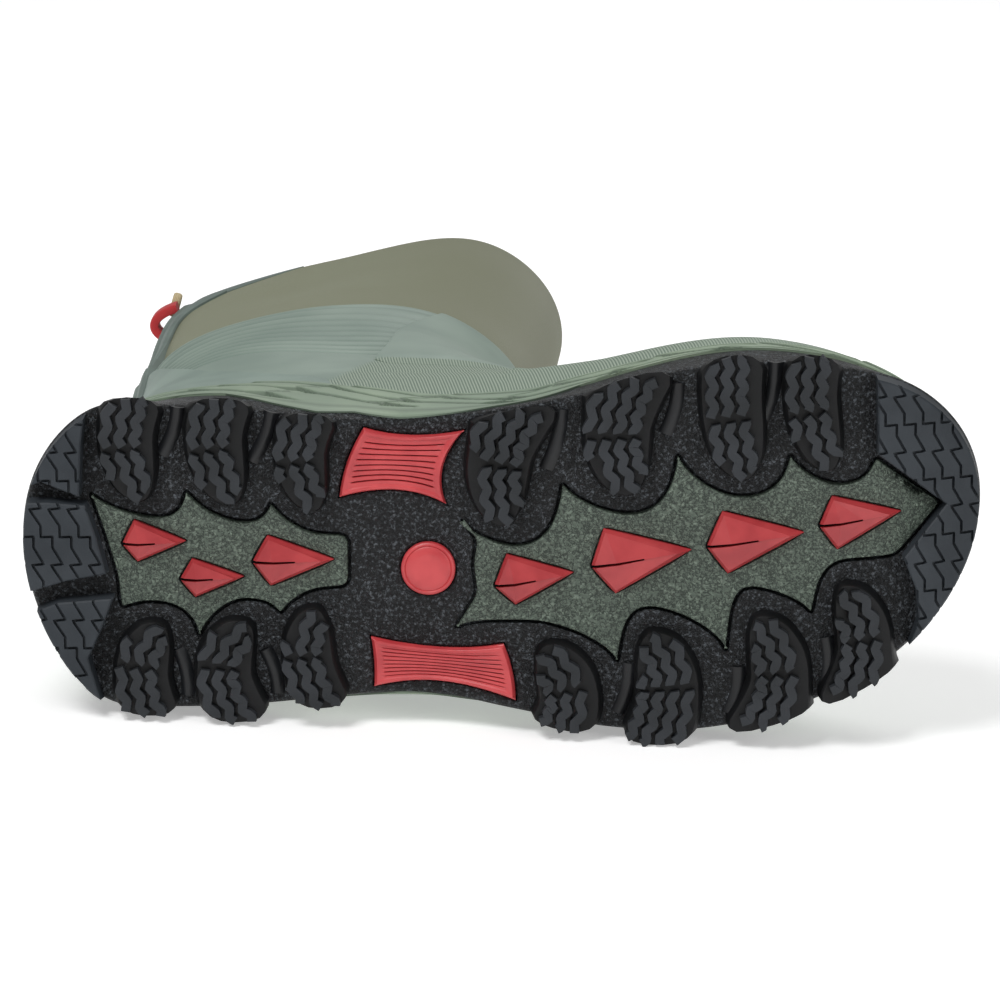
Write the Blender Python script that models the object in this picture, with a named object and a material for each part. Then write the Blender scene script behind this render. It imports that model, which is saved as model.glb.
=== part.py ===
"""Left rubber field boot with a slack textile shaft, laid on its outer side.

Boot axes, in millimetres: s runs from the back of the heel to the toe, m towards the inner side of the
foot and h up from the tread. Laid down, s runs along +X, h along +Y and m along +Z.
"""
import math
from collections import namedtuple

import bmesh
import bpy
import numpy as np

MM = 0.001
FIT = 0.3                 # gap between pieces that meet

# Lying pose: turned until heel lugs, forefoot lugs and shaft all touch the floor
TOE_UP_DEG = 2.467
SHAFT_DOWN_DEG = 1.539
ORIGIN_S = 155.4
ORIGIN_H = 223.61
ORIGIN_M = -53.85

# Sole
LENGTH = 317.0
LUG_DEPTH = 7.0           # tread plane to the sole's face
EDGE_ROUND = 1.6          # chamfer between the sole's face and its side
RIM = 4.0                 # sole wall around the upper
HEEL_END_ROUND = 65.0
TOE_END_ROUND = 48.0
HEEL_SWING = 7.0          # sideways lean of the heel's end and of the toe, to the inner side
HEEL_SWING_END = 45.0
TOE_SWING = 18.0
TOE_SWING_START = 190.0
TOE_SPRING = 16.0
SPRING_START = 245.0
ARCH_RISE = 4.0
ARCH_START, ARCH_END = 98.0, 168.0
ARCH_FADE_HEIGHT = 12.0   # the arch is spent at this height, below the foot bed
BEND_STATIONS = (98.0, 112.0, 133.0, 154.0, 168.0, 245.0, 262.0, 276.0, 288.0, 298.0, 308.0)

# Walls and overlays
UPPER_WALL = 4.0          # rubber with its lining
SHAFT_WALL = 2.6
LAP = 1.5                 # rubber left outside the shaft where the two overlap
OVERLAY = 1.4
OVERLAY_GAP = 0.5         # clear of the upper's facets
INSOLE = 4.0
AROUND = 48               # points around the upper and the sole
MITRE_LIMIT = 0.25

Width = namedtuple("Width", "s half")
SOLE_WIDTHS = (
    Width(22, 47.5),
    Width(45, 51.5),
    Width(75, 50.5),
    Width(100, 48),
    Width(128, 46),
    Width(160, 51),
    Width(190, 57),
    Width(220, 61.5),
    Width(245, 60.5),
    Width(270, 54.5),
    Width(295, 42.5),
)

# Sections of the upper from the sole to the collar: where the section meets the front and back profile,
# the rounding of its two ends, its half width at 20, 50 and 80 per cent, and how far its front sags outwards
Ring = namedtuple("Ring", "front_s front_h back_s back_h back_round heel mid ball front_round sag")
RINGS = (
    Ring(307, 13, 9, 20, 50, 46.5, 45.5, 56, 44, 0),
    Ring(309.5, 32, 7.5, 42, 46, 46.5, 50, 59, 46, 0),
    Ring(307.5, 47, 7.5, 57, 42, 45.5, 51, 59.5, 43, 0),
    Ring(299, 60, 8.5, 71, 40, 44.5, 50.5, 56, 38, 0),
    Ring(284, 70, 10.5, 85, 38, 43, 48.5, 49.5, 32, 0),
    Ring(262, 79, 13, 99, 36, 42, 46.5, 44, 28, 0),
    Ring(238, 88, 15.5, 113, 34, 41, 45, 40.5, 27, 0),
    Ring(215, 100, 18, 128, 33, 40, 44, 39, 27, 0),
    Ring(195, 115, 20, 144, 32, 39, 43, 38.5, 27, 0),
    Ring(180, 134, 21, 162, 31, 37.5, 42.5, 38, 28, 0),
    Ring(168, 158, 21, 183, 29, 35.5, 42, 37.5, 28, 0),
    Ring(161, 187, 20, 208, 26, 33, 41, 36.5, 27, 0),
    Ring(161.5, 222, 18.5, 236, 23, 31, 40, 35.5, 27, 0),
    Ring(165, 262, 17, 272, 19, 28, 39, 35.5, 28, -2),
    Ring(168, 308, 15, 312, 15, 25, 37, 36, 29, -5),
    Ring(171, 352, 14, 354, 12, 22, 35, 38, 33, -8),
    Ring(174, 398, 14.5, 397, 6, 19.5, 33.5, 39.5, 36, -10),
    Ring(176, 446, 19.5, 440, 3, 17.5, 33, 38.5, 36, -12),
)
SECTION_PLACES = (0.0, 0.2, 0.5, 0.8, 1.0)
COLLAR = len(RINGS) - 1
RUBBER_TOP = 12.5         # the rubber's top edge, counted in sections
LAP_START = 12.1
GUARD_FOOT = 7.0          # section where the instep guard starts
GUARD_END = 7.6           # and where its rear ends stop
GUARD_FRONT = 0.98        # angle from the front to which the guard reaches the rubber's top
GUARD_REACH = 12          # facets on either side of the front
CounterTop = namedtuple("CounterTop", "away section")
COUNTER_TOP = (           # counter's top edge, by the angle from the middle of the back
    CounterTop(0.0, 12.2),
    CounterTop(0.4, 12.0),
    CounterTop(0.6, 10.5),
    CounterTop(0.75, 8.4),
    CounterTop(0.87, 6.4),
    CounterTop(1.0, 5.0),
    CounterTop(1.2, 3.4),
)
COUNTER_REACH = 9         # facets on either side of the back
COUNTER_STEP = 0.03       # clear of the foxing, counted in sections
TOE_BOX_TOP = 3.0         # toe spring fades out of the upper above this section
SPRING_FADE = 4.0

# Foxing: its foot on the black sole and its top edge, counted in sections, and its stepped face
Band = namedtuple("Band", "s foot top")
FOXING_BAND = (
    Band(0, 0.32, 1.5),
    Band(30, 0.4, 1.75),
    Band(58, 0.5, 2.1),
    Band(74, 0.36, 2.25),
    Band(90, 0.14, 2.1),
    Band(108, 0.09, 1.35),
    Band(128, 0.08, 0.85),
    Band(150, 0.09, 0.7),
    Band(168, 0.16, 0.75),
    Band(192, 0.44, 0.96),
    Band(212, 0.44, 0.92),
    Band(250, 0.34, 0.78),
    Band(316, 0.28, 0.72),
)
Ledge = namedtuple("Ledge", "share out")
FOXING_FACE = (
    Ledge(0.0, 3.5),
    Ledge(0.45, 3.9),
    Ledge(0.5, 2.8),
    Ledge(0.95, 3.1),
    Ledge(1.0, 2.3),
)
BORDER_LEVEL = 0.26       # section on which the band's stations are read
BORDER_GAP = 0.015        # counted in sections

# Strip up the back and tape round the collar
STAY_HALF = 13.0
STAY_LEVELS = (4, 5, 6, 7, 8, 9, 10, 11, 12, 12.5, 12.58, 13, 14, 15, 16, 16.5)
STAY_STEP = 12.54         # steps down here, off the rubber onto the shaft
STAY_ON_RUBBER = 1.4      # over the counter
STAY_ON_SHAFT = 1.0
STAY_RIDGE = 1.2
TAPE_SPAN = 1.15          # half angle around the back
TAPE_DEPTH_BACK = 0.46    # counted in sections
TAPE_DEPTH_FRONT = 0.03
TAPE_HOLD = 0.62          # share of the span over which it keeps its depth
TAPE_BELOW_EDGE = 0.01
TAPE_THICK = 1.1
TAPE_GAP = 0.4

# Tread lugs: middle of the outer end, of the waist and of the nose, and the lug's width
Lug = namedtuple("Lug", "outer_s outer_m mid_s mid_m nose_s nose_m width")
LUGS = (
    Lug(38, 55, 35, 38, 41, 20, 18),
    Lug(67, 55, 64, 38, 71, 19, 19),
    Lug(96, 50, 92, 34, 98, 17, 16.5),
    Lug(165, 52, 157, 33, 160, 12, 21),
    Lug(202, 63, 196, 43, 202, 23, 22),
    Lug(234, 70, 234, 49, 239, 28, 20),
    Lug(261, 70, 260, 51, 267, 31, 17),
    Lug(178, -57, 181, -43, 171, -29, 20),
    Lug(209, -62, 214, -42, 206, -24, 21),
    Lug(245, -56, 251, -37, 242, -18, 20),
    Lug(275, -45, 279, -26, 270, -8, 18),
    Lug(42, -53, 39, -36, 47, -22, 18),
    Lug(72, -55, 66, -36, 76, -22, 19),
    Lug(100, -50, 94, -32, 98, -16, 16.5),
)
Taper = namedtuple("Taper", "place share")
LUG_TAPER = (
    Taper(0.0, 1.0),
    Taper(0.33, 1.0),
    Taper(0.6, 0.98),
    Taper(0.82, 0.78),
    Taper(0.95, 0.42),
)
# From the tread into the sole: widening of the sides, and share by which the outer end draws in
LugLevel = namedtuple("LugLevel", "h widen pull")
LUG_LEVELS = (
    LugLevel(0.0, 0.0, 0.0),
    LugLevel(7.0, 1.2, 0.1),
    LugLevel(12.0, 1.2, 0.55),
)

# Panel edges: each lug pushes the edge in to a crown, and the edge runs out to a cusp between two lugs
Scallop = namedtuple("Scallop", "crown_s crown_m cusp_s cusp_m")
HEEL_INNER_EDGE = (
    Scallop(46, 14, 54, 24),
    Scallop(74, 12.5, 82, 20),
    Scallop(100, 8.5, 108, 7.5),
)
HEEL_OUTER_EDGE = (
    Scallop(42, -15, 58, -28),
    Scallop(73, -14, 85, -20),
    Scallop(100, -10, 108, -9),
)
FOREFOOT_INNER_EDGE = (
    Scallop(163, 5, 178, 27),
    Scallop(200, 16, 216, 37),
    Scallop(237, 22, 253, 37),
    Scallop(270, 26, 281, 35),
)
FOREFOOT_OUTER_EDGE = (
    Scallop(168, -21, 197, -36),
    Scallop(207, -16, 233, -32),
    Scallop(240, -9, 261, -19),
    Scallop(273, 0, 289, 1),
)
Point = namedtuple("Point", "s m")
HEEL_PANEL_BACK = (Point(32, -18), Point(31, -6), Point(27, 8), Point(22, 23))
FOREFOOT_PANEL_BACK = (Point(142, -25), Point(150, -12), Point(148.5, -2), Point(150, 6), Point(144, 14))
FOREFOOT_PANEL_TIP = Point(304, 18)
SLOW_SHOULDER, TIGHT_SHOULDER = 0.3, 0.75   # how far each side of a crown stays flat
PANEL_FACE = 6.6
POCKET_FLOOR = 9.4

# Waist inserts: corner, and how far the edge to the next corner bows inwards
Corner = namedtuple("Corner", "s m bow")
INNER_INSERT = (
    Corner(113, 44, 2.5),
    Corner(146, 43, 4),
    Corner(140, 18, 3.5),
    Corner(105, 21, -1.5),
)
OUTER_INSERT = (
    Corner(115, -27, 3),
    Corner(159, -29, -1),
    Corner(163, -48, 3.5),
    Corner(116, -44, 0.5),
)
INSERT_FACE = 6.2
INSERT_STEPS = 6          # facets along each side

# Studs: tail, inner corner, tip and outer corner of each kite
Stud = namedtuple("Stud", "tail_s tail_m inner_s inner_m tip_s tip_m outer_s outer_m")
HEEL_STUDS = (
    Stud(33, 5, 37, 13, 54, 6, 38, -1),
    Stud(52, -7, 56, 0, 73, -6, 57, -13),
    Stud(76, -1, 81, 8, 103, 0, 82, -9),
)
FOREFOOT_STUDS = (
    Stud(156, -9, 160, 2, 182, -4, 163, -15),
    Stud(188, -2, 192, 11, 221, 4, 196, -11),
    Stud(226, 5, 231, 17, 258, 10, 233, -4),
    Stud(263, 12, 267, 22, 290, 16, 269, 4),
)
STUD_FOOT = 5.2           # height at which the kite's sloping faces start
STUD_SHOULDER = 0.94      # size of the kite there
STUD_RIDGE = 2.4
RIDGE_PLACES = (0.28, 0.82)

# Heel and toe plates: the stretch of sole edge that closes each plate, then its corners within the sole
Stretch = namedtuple("Stretch", "start_s start_side end_s end_side points")
TOE_PLATE_EDGE = Stretch(281.5, 1, 294, -1, 12)
TOE_PLATE = (Point(296.5, -20), Point(295.5, -10), Point(291, 1), Point(305, 18.5), Point(282, 36.5))
INNER_PLATE_EDGE = Stretch(21, 1, 3.2, 1, 5)
INNER_PLATE = (Point(7, 27), Point(19.5, 22), Point(20.5, 40))
MIDDLE_PLATE_EDGE = Stretch(1.4, 1, 2.2, -1, 6)
MIDDLE_PLATE = (Point(15, -6.5), Point(28, -4), Point(25, 8), Point(21.5, 19), Point(9, 20))
OUTER_PLATE_EDGE = Stretch(4.2, -1, 25, -1, 6)
OUTER_PLATE = (Point(21.5, -33), Point(26, -23), Point(30, -12.5), Point(12, -14))
PLATE_EDGE = 0.8          # plates stop short of the sole's edge by this
PLATE_ROOT = 2.0          # how deep they run into the sole
PLATE_SPREAD = 0.4

# Plain disc in the waist
DISC_S = 134.0
DISC_M = -4.0
DISC_RADIUS = 9.0
DISC_SIDES = 20

# Collar strap and its tip
STRAP_LEVEL = 16.36
STRAP_SPAN = 0.34         # half angle around the back
STRAP_TURN = 0.11         # its middle lies this angle to the outer side of the back
STRAP_BOW = 7.5
STRAP_THICK = 2.2
STRAP_HEIGHT = 9.0
STRAP_OFF_INNER = 2.2     # height of its inner end over the skin, and of its outer end
STRAP_OFF_OUTER = 1.75
STRAP_POINTS = 15
TIP_LENGTH = 9.5
TIP_THICK = 2.6
TIP_HEIGHT = 8.0
TIP_FOOT = Point(13.2, 0.8)
TIP_LEAN_DEG = 75.0


def cubic(place, width, low, high, low_slope, high_slope):
    """Cubic between two values with given slopes."""
    start = (low * (1 + 2 * place) + width * low_slope * place) * (1 - place) ** 2
    end = (high * (3 - 2 * place) - width * high_slope * (1 - place)) * place ** 2
    return start + end


def span(x, knots):
    """The stretch between knots that holds x: its number, the place along it and its width."""
    i = np.clip(np.searchsorted(knots, x) - 1, 0, len(knots) - 2)
    width = knots[i + 1] - knots[i]
    return i, (x - knots[i]) / width, width


def smooth(x, knots, values):
    """Cubic through the knots, with slopes taken from their neighbours."""
    knots = np.asarray(knots, float)
    values = np.asarray(values, float)
    slopes = np.gradient(values, knots, axis=0)
    i, place, width = span(np.asarray(x, float), knots)
    if values.ndim > 1:
        place = place[..., None]
        width = width[..., None]
    return cubic(place, width, values[i], values[i + 1], slopes[i], slopes[i + 1])


def toe_swing(s):
    return TOE_SWING * np.clip((s - TOE_SWING_START) / (LENGTH - TOE_SWING_START), 0, None) ** 1.2


def heel_swing(s):
    return HEEL_SWING * np.clip(1 - s / HEEL_SWING_END, 0, None) ** 2


def spring_lift(s):
    """Toe spring, straight between the bend stations so that faceted pieces follow each other."""
    stations = np.array((0.0,) + BEND_STATIONS + (LENGTH + 10,))
    lifts = TOE_SPRING * np.clip((stations - SPRING_START) / (LENGTH - SPRING_START), 0, None) ** 2
    return np.interp(s, stations, lifts)


def arch_lift(s):
    stations = np.array((0.0,) + BEND_STATIONS + (LENGTH + 10,))
    place = np.clip((stations - ARCH_START) / (ARCH_END - ARCH_START), 0, 1)
    return np.interp(s, stations, ARCH_RISE * np.sin(math.pi * place) ** 2)


def sole_edge(u, inset=0.0):
    """Outline of the sole's face; u is 0 at the toe, pi at the heel, and below pi on the inner side."""
    def edge(angle):
        t = (1 + np.cos(angle)) / 2
        s = LENGTH * t
        places = [0.0] + [w.s / LENGTH for w in SOLE_WIDTHS] + [1.0]
        fullness = [math.sqrt(HEEL_END_ROUND * LENGTH / 2)]
        for w in SOLE_WIDTHS:
            share = w.s / LENGTH
            fullness.append(w.half / math.sqrt(4 * share * (1 - share)))
        fullness.append(math.sqrt(TOE_END_ROUND * LENGTH / 2))
        m = toe_swing(s) + heel_swing(s) + np.sin(angle) * smooth(t, places, fullness)
        return np.stack([s, m], axis=-1)
    step = 1e-3
    along = edge(u + step) - edge(u - step)
    along /= np.linalg.norm(along, axis=-1, keepdims=True)
    inward = np.stack([-along[..., 1], along[..., 0]], axis=-1)
    return edge(u) + inset * inward


def skin(u, v):
    """The upper's outer surface before toe spring; v counts the sections from the sole up."""
    columns = smooth(v, np.arange(len(RINGS)), np.array(RINGS, float))
    ring = Ring(*np.moveaxis(columns, -1, 0))
    length = ring.front_s - ring.back_s
    t = (1 + np.cos(u)) / 2
    s = ring.back_s + t * length
    back_end = np.sqrt(ring.back_round * length / 2)
    front_end = np.sqrt(ring.front_round * length / 2)
    fullness = [back_end, ring.heel / 0.8, ring.mid, ring.ball / 0.8, front_end]
    knots = np.array(SECTION_PLACES)
    stacked = np.stack(np.broadcast_arrays(*fullness), axis=0)
    slopes = np.gradient(stacked, knots, axis=0)
    i, place, width = span(t, knots)
    ends = [np.take_along_axis(table, i[None] + k, 0)[0] for table in (stacked, slopes) for k in (0, 1)]
    m = toe_swing(s) + ring.sag * t + np.sin(u) * cubic(place, width, *ends)
    h = ring.back_h + t * (ring.front_h - ring.back_h)
    return np.stack([s, m, h], axis=-1)


def flat_skin(u, v, offset):
    """The skin moved outwards by an offset, before toe spring."""
    u, v, offset = np.broadcast_arrays(np.asarray(u, float), np.asarray(v, float), np.asarray(offset, float))
    step = 1e-3
    around = skin(u + step, v) - skin(u - step, v)
    up = skin(u, v + step) - skin(u, v - step)
    out = np.cross(around, up)
    out /= np.linalg.norm(out, axis=-1, keepdims=True)
    return skin(u, v) + offset[..., None] * out


def on_skin(u, v, offset):
    points = flat_skin(u, v, offset)
    fade = 1 - np.clip((np.asarray(v, float) - TOE_BOX_TOP) / SPRING_FADE, 0, 1)
    fade = fade * fade * (3 - 2 * fade)
    points[..., 2] += spring_lift(points[..., 0]) * fade
    return points


def border_level(s):
    """Border between the black sole and the foxing, counted in sections."""
    return smooth(s, [band.s for band in FOXING_BAND], [band.foot for band in FOXING_BAND])


def foxing_top(s):
    return smooth(s, [band.s for band in FOXING_BAND], [band.top for band in FOXING_BAND])


def angles():
    return np.arange(AROUND) * 2 * math.pi / AROUND


def grid_faces(rows, columns, closed):
    """Quads of a grid, closed across its columns where it runs around the boot."""
    faces = []
    last = columns if closed else columns - 1
    for r in range(rows - 1):
        for c in range(last):
            right = (c + 1) % columns
            low = r * columns
            high = low + columns
            faces.append((low + c, low + right, high + right, high + c))
    return faces


def mesh_of(points, faces):
    """Closed mesh in boot axes from points (s, m, h); laid down, the axes are s, h, m."""
    bm = bmesh.new()
    verts = [bm.verts.new((p[0], p[2], p[1])) for p in np.asarray(points, float).reshape(-1, 3)]
    for face in faces:
        bm.faces.new([verts[i] for i in face])
    bmesh.ops.recalc_face_normals(bm, faces=bm.faces)
    return bm


def sweep(rings):
    """Solid whose closed profile runs round the boot: one ring of points for each profile corner."""
    rings = np.array(rings)
    rows, columns = rings.shape[:2]
    faces = grid_faces(rows, columns, True)
    base = (rows - 1) * columns
    for c in range(columns):
        right = (c + 1) % columns
        faces.append((base + c, base + right, right, c))
    return mesh_of(rings, faces)


def ladder(start, columns):
    """Cap of a left and right ring: rungs join points at the same station."""
    half = columns // 2
    faces = [(start, start + 1, start + columns - 1), (start + half, start + half + 1, start + half - 1)]
    for k in range(1, half - 1):
        faces.append((start + k, start + k + 1, start + columns - k - 1, start + columns - k))
    return faces


def capped(rings, cap):
    """Solid through stacked rings, with both ends closed by ladder rungs or by one flat face."""
    rings = np.array(rings)
    rows, columns = rings.shape[:2]
    faces = grid_faces(rows, columns, True)
    top = (rows - 1) * columns
    if cap == "ladder":
        faces += ladder(0, columns) + ladder(top, columns)
    else:
        faces += [tuple(range(columns)), tuple(range(top, top + columns))]
    return mesh_of(rings, faces)


def patch(u, v, inner, outer):
    """Overlay on the skin: a grid of places with an inner and an outer offset."""
    u, v, inner, outer = np.broadcast_arrays(u, v, inner, outer)
    rows, columns = u.shape
    points = np.concatenate([on_skin(u, v, outer).reshape(-1, 3), on_skin(u, v, inner).reshape(-1, 3)])
    below = rows * columns
    faces = grid_faces(rows, columns, False)
    faces += [tuple(below + i for i in face) for face in faces]
    rim = [c for c in range(columns)] + [r * columns + columns - 1 for r in range(1, rows)]
    rim += [(rows - 1) * columns + c for c in range(columns - 2, -1, -1)]
    rim += [r * columns for r in range(rows - 2, 0, -1)]
    for a, b in zip(rim, rim[1:] + rim[:1]):
        faces.append((a, b, below + b, below + a))
    return mesh_of(points, faces)


def level(outline, h):
    """Flat ring of an outline at one height."""
    outline = np.asarray(outline, float)
    return np.column_stack([outline, np.full(len(outline), h)])


def grown(outline, by):
    """Outline moved outwards, with sharp corners mitred up to a limit."""
    outline = np.asarray(outline, float)
    following = np.roll(outline, -1, axis=0)
    turn = np.sum(outline[:, 0] * following[:, 1] - following[:, 0] * outline[:, 1])
    along = following - outline
    along /= np.linalg.norm(along, axis=1, keepdims=True)
    out = math.copysign(1, turn) * np.column_stack([along[:, 1], -along[:, 0]])
    both = out + np.roll(out, 1, axis=0)
    reach = np.sum(both * both, axis=1, keepdims=True) / 2
    return outline + by * both / np.maximum(reach, MITRE_LIMIT)


def bezier(a, b, c, d, steps):
    """Points of a cubic from a towards d, without d itself."""
    t = (np.arange(steps) / steps)[:, None]
    a, b, c, d = (np.asarray(p, float) for p in (a, b, c, d))
    return a * (1 - t) ** 3 + 3 * b * t * (1 - t) ** 2 + 3 * c * t * t * (1 - t) + d * t ** 3


def scalloped_edge(start, scallops, corner_first):
    """Panel edge past each lug: a slow shoulder and a tight corner on either side of the crown."""
    points = []
    here = np.array(start, float)
    for row in scallops:
        crown = np.array([row.crown_s, row.crown_m], float)
        cusp = np.array([row.cusp_s, row.cusp_m], float)
        shoulders = (SLOW_SHOULDER, TIGHT_SHOULDER)
        if corner_first:
            shoulders = shoulders[::-1]
        before = (crown[0] - here[0]) * np.array([shoulders[0], 0])
        after = (cusp[0] - crown[0]) * np.array([shoulders[1], 0])
        leave = np.array([here[0] + 0.15 * (crown[0] - here[0]), here[1] + 0.6 * (crown[1] - here[1])])
        arrive = np.array([cusp[0] - 0.05 * (cusp[0] - crown[0]), cusp[1] + 0.5 * (crown[1] - cusp[1])])
        points.append(bezier(here, leave, crown - before, crown, 5))
        points.append(bezier(crown, crown + after, arrive, cusp, 5))
        here = cusp
    return np.concatenate(points + [here[None]])


def heel_panel_outline():
    back = np.array(HEEL_PANEL_BACK, float)
    inner = scalloped_edge(back[-1], HEEL_INNER_EDGE, False)
    outer = scalloped_edge(back[0], HEEL_OUTER_EDGE, False)
    return np.concatenate([inner, outer[::-1], back[1:-1]])


def forefoot_panel_outline():
    back = np.array(FOREFOOT_PANEL_BACK, float)
    inner = scalloped_edge(back[-1], FOREFOOT_INNER_EDGE, False)
    outer = scalloped_edge(back[0], FOREFOOT_OUTER_EDGE, True)
    return np.concatenate([inner, [FOREFOOT_PANEL_TIP], outer[::-1], back[1:-1]])


def insert_outline(corners):
    """Plate with bowed sides; each side is a parabola between two corners."""
    middle = np.mean([(c.s, c.m) for c in corners], axis=0)
    points = []
    for here, there in zip(corners, corners[1:] + corners[:1]):
        a = np.array([here.s, here.m], float)
        b = np.array([there.s, there.m], float)
        inward = middle - (a + b) / 2
        inward /= np.linalg.norm(inward)
        for t in np.arange(INSERT_STEPS) / INSERT_STEPS:
            points.append(a + (b - a) * t + inward * here.bow * 4 * t * (1 - t))
    return np.array(points)


def disc_outline():
    turn = np.arange(DISC_SIDES) * 2 * math.pi / DISC_SIDES
    return np.column_stack([DISC_S + DISC_RADIUS * np.cos(turn), DISC_M + DISC_RADIUS * np.sin(turn)])


def lug_outline(lug, widen, pull):
    """Tongue along a curved axis, from an end cut along the sole's edge to its round nose."""
    outer = np.array([lug.outer_s, lug.outer_m], float)
    mid = np.array([lug.mid_s, lug.mid_m], float)
    nose = np.array([lug.nose_s, lug.nose_m], float)
    control = 2 * mid - (outer + nose) / 2
    edge_angle = math.copysign(math.acos(2 * lug.outer_s / LENGTH - 1), lug.outer_m)
    edge = sole_edge(np.array(edge_angle + 0.01)) - sole_edge(np.array(edge_angle - 0.01))
    left, right = [], []
    for place, share in LUG_TAPER:
        point = outer * (1 - place) ** 2 + 2 * control * place * (1 - place) + nose * place ** 2
        along = (control - outer) * (1 - place) + (nose - control) * place
        along /= np.linalg.norm(along)
        across = np.array([along[1], -along[0]]) * (lug.width / 2 * share + widen)
        slide = 0.0
        if place == 0:
            slide = (across[0] * edge[1] - across[1] * edge[0]) / (along[0] * edge[1] - along[1] * edge[0])
        left.append(point + across - along * slide)
        right.append(point - across + along * slide)
    for side in (left, right):
        side[0] = side[0] + (side[1] - side[0]) * pull
    tip = nose + (nose - control) / np.linalg.norm(nose - control) * widen
    return np.array(left + [tip] + right[::-1])


def edge_run(stretch):
    """Points along the sole's edge from one station to another, round the nearer end of the sole."""
    def angle(s, side):
        return side * math.acos(2 * s / LENGTH - 1)
    first = angle(stretch.start_s, stretch.start_side)
    last = angle(stretch.end_s, stretch.end_side)
    if stretch.start_side != stretch.end_side and stretch.start_s < LENGTH / 2:
        last += math.copysign(2 * math.pi, first)
    return sole_edge(np.linspace(first, last, stretch.points), PLATE_EDGE)


def plate_outlines():
    plates = (
        (TOE_PLATE_EDGE, TOE_PLATE),
        (INNER_PLATE_EDGE, INNER_PLATE),
        (MIDDLE_PLATE_EDGE, MIDDLE_PLATE),
        (OUTER_PLATE_EDGE, OUTER_PLATE),
    )
    return [np.concatenate([edge_run(edge), corners]) for edge, corners in plates]


def join(meshes):
    """One mesh holding several separate closed shapes."""
    joined = bmesh.new()
    for bm in meshes:
        part = bpy.data.meshes.new("part")
        bm.to_mesh(part)
        bm.free()
        joined.from_mesh(part)
        bpy.data.meshes.remove(part)
    return joined


def prism(outline, top, bottom, spread=0.0):
    return capped([level(outline, top), level(grown(outline, spread), bottom)], "face")


def boolean(target, cutter, operation):
    """Boolean of two meshes, both used up."""
    objects = []
    for label, bm in (("target", target), ("cutter", cutter)):
        mesh = bpy.data.meshes.new(label)
        bm.to_mesh(mesh)
        bm.free()
        ob = bpy.data.objects.new(label, mesh)
        bpy.context.collection.objects.link(ob)
        objects.append(ob)
    modifier = objects[0].modifiers.new("cut", "BOOLEAN")
    modifier.object = objects[1]
    modifier.operation = operation
    modifier.solver = "EXACT"
    modifier.use_self = True
    evaluated = objects[0].evaluated_get(bpy.context.evaluated_depsgraph_get())
    result = bmesh.new()
    result.from_mesh(evaluated.to_mesh())
    evaluated.to_mesh_clear()
    for ob in objects:
        mesh = ob.data
        bpy.data.objects.remove(ob)
        bpy.data.meshes.remove(mesh)
    return result


def bend_sole(bm):
    """Give a flat piece of the sole its arch and toe spring."""
    for station in BEND_STATIONS:
        geometry = bm.verts[:] + bm.edges[:] + bm.faces[:]
        bmesh.ops.bisect_plane(bm, geom=geometry, dist=1e-4, plane_co=(station, 0, 0), plane_no=(1, 0, 0))
    bmesh.ops.remove_doubles(bm, verts=bm.verts, dist=0.01)
    bmesh.ops.triangulate(bm, faces=bm.faces)
    for vert in bm.verts:
        s, h, m = vert.co
        share = np.clip((ARCH_FADE_HEIGHT - h) / (ARCH_FADE_HEIGHT - LUG_DEPTH), 0, 1)
        vert.co.y = h + float(spring_lift(s) + arch_lift(s) * share)
    return bm


def outsole():
    u = angles()
    border = border_level(flat_skin(u, BORDER_LEVEL, 0)[:, 0])
    seat = flat_skin(u, 0, FIT)
    seat[:, 2] -= FIT
    body = capped([
        level(sole_edge(u, EDGE_ROUND), LUG_DEPTH),
        level(sole_edge(u), LUG_DEPTH + EDGE_ROUND),
        flat_skin(u, border, RIM),
        flat_skin(u, border, FIT),
        seat,
    ], "ladder")
    blocks = []
    for lug in LUGS:
        levels = [level(lug_outline(lug, row.widen, row.pull), row.h) for row in LUG_LEVELS]
        blocks.append(capped(levels, "face"))
    for outline in plate_outlines():
        blocks.append(prism(outline, 0, LUG_DEPTH + PLATE_ROOT, PLATE_SPREAD))
    pockets = []
    for outline in (heel_panel_outline(), forefoot_panel_outline(), disc_outline(),
                    insert_outline(INNER_INSERT), insert_outline(OUTER_INSERT)):
        pockets.append(prism(grown(outline, FIT), -LUG_DEPTH, POCKET_FLOOR))
    body = boolean(body, join(blocks), "UNION")
    return bend_sole(boolean(body, join(pockets), "DIFFERENCE"))


def sole_plate(outline, face):
    return bend_sole(prism(outline, face, POCKET_FLOOR - FIT))


def stud(row):
    """Low roof over a kite, its ridge running from tail to tip."""
    kite = np.array(row, float).reshape(4, 2)
    foot = level(kite, PANEL_FACE - FIT)
    shoulder = level(kite * STUD_SHOULDER + kite.mean(axis=0) * (1 - STUD_SHOULDER), STUD_FOOT)
    ridge = [kite[0] + (kite[2] - kite[0]) * place for place in RIDGE_PLACES]
    points = np.concatenate([foot, shoulder, level(ridge, STUD_RIDGE)])
    faces = grid_faces(2, 4, True) + [(0, 1, 2, 3)]
    faces += [(4, 5, 8), (5, 6, 9, 8), (6, 7, 8, 9), (7, 4, 8)]
    return bend_sole(mesh_of(points, faces))


def foxing():
    """Side band above the sole, its face stepped in two ledges."""
    u = angles()
    s = flat_skin(u, BORDER_LEVEL, 0)[:, 0]
    low = border_level(s) + BORDER_GAP
    high = foxing_top(s)
    rings = [on_skin(u, low + (high - low) * ledge.share, ledge.out) for ledge in FOXING_FACE]
    rings += [on_skin(u, low + (high - low) * share, FIT) for share in (1.0, 0.5, 0.0)]
    return sweep(rings)


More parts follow.
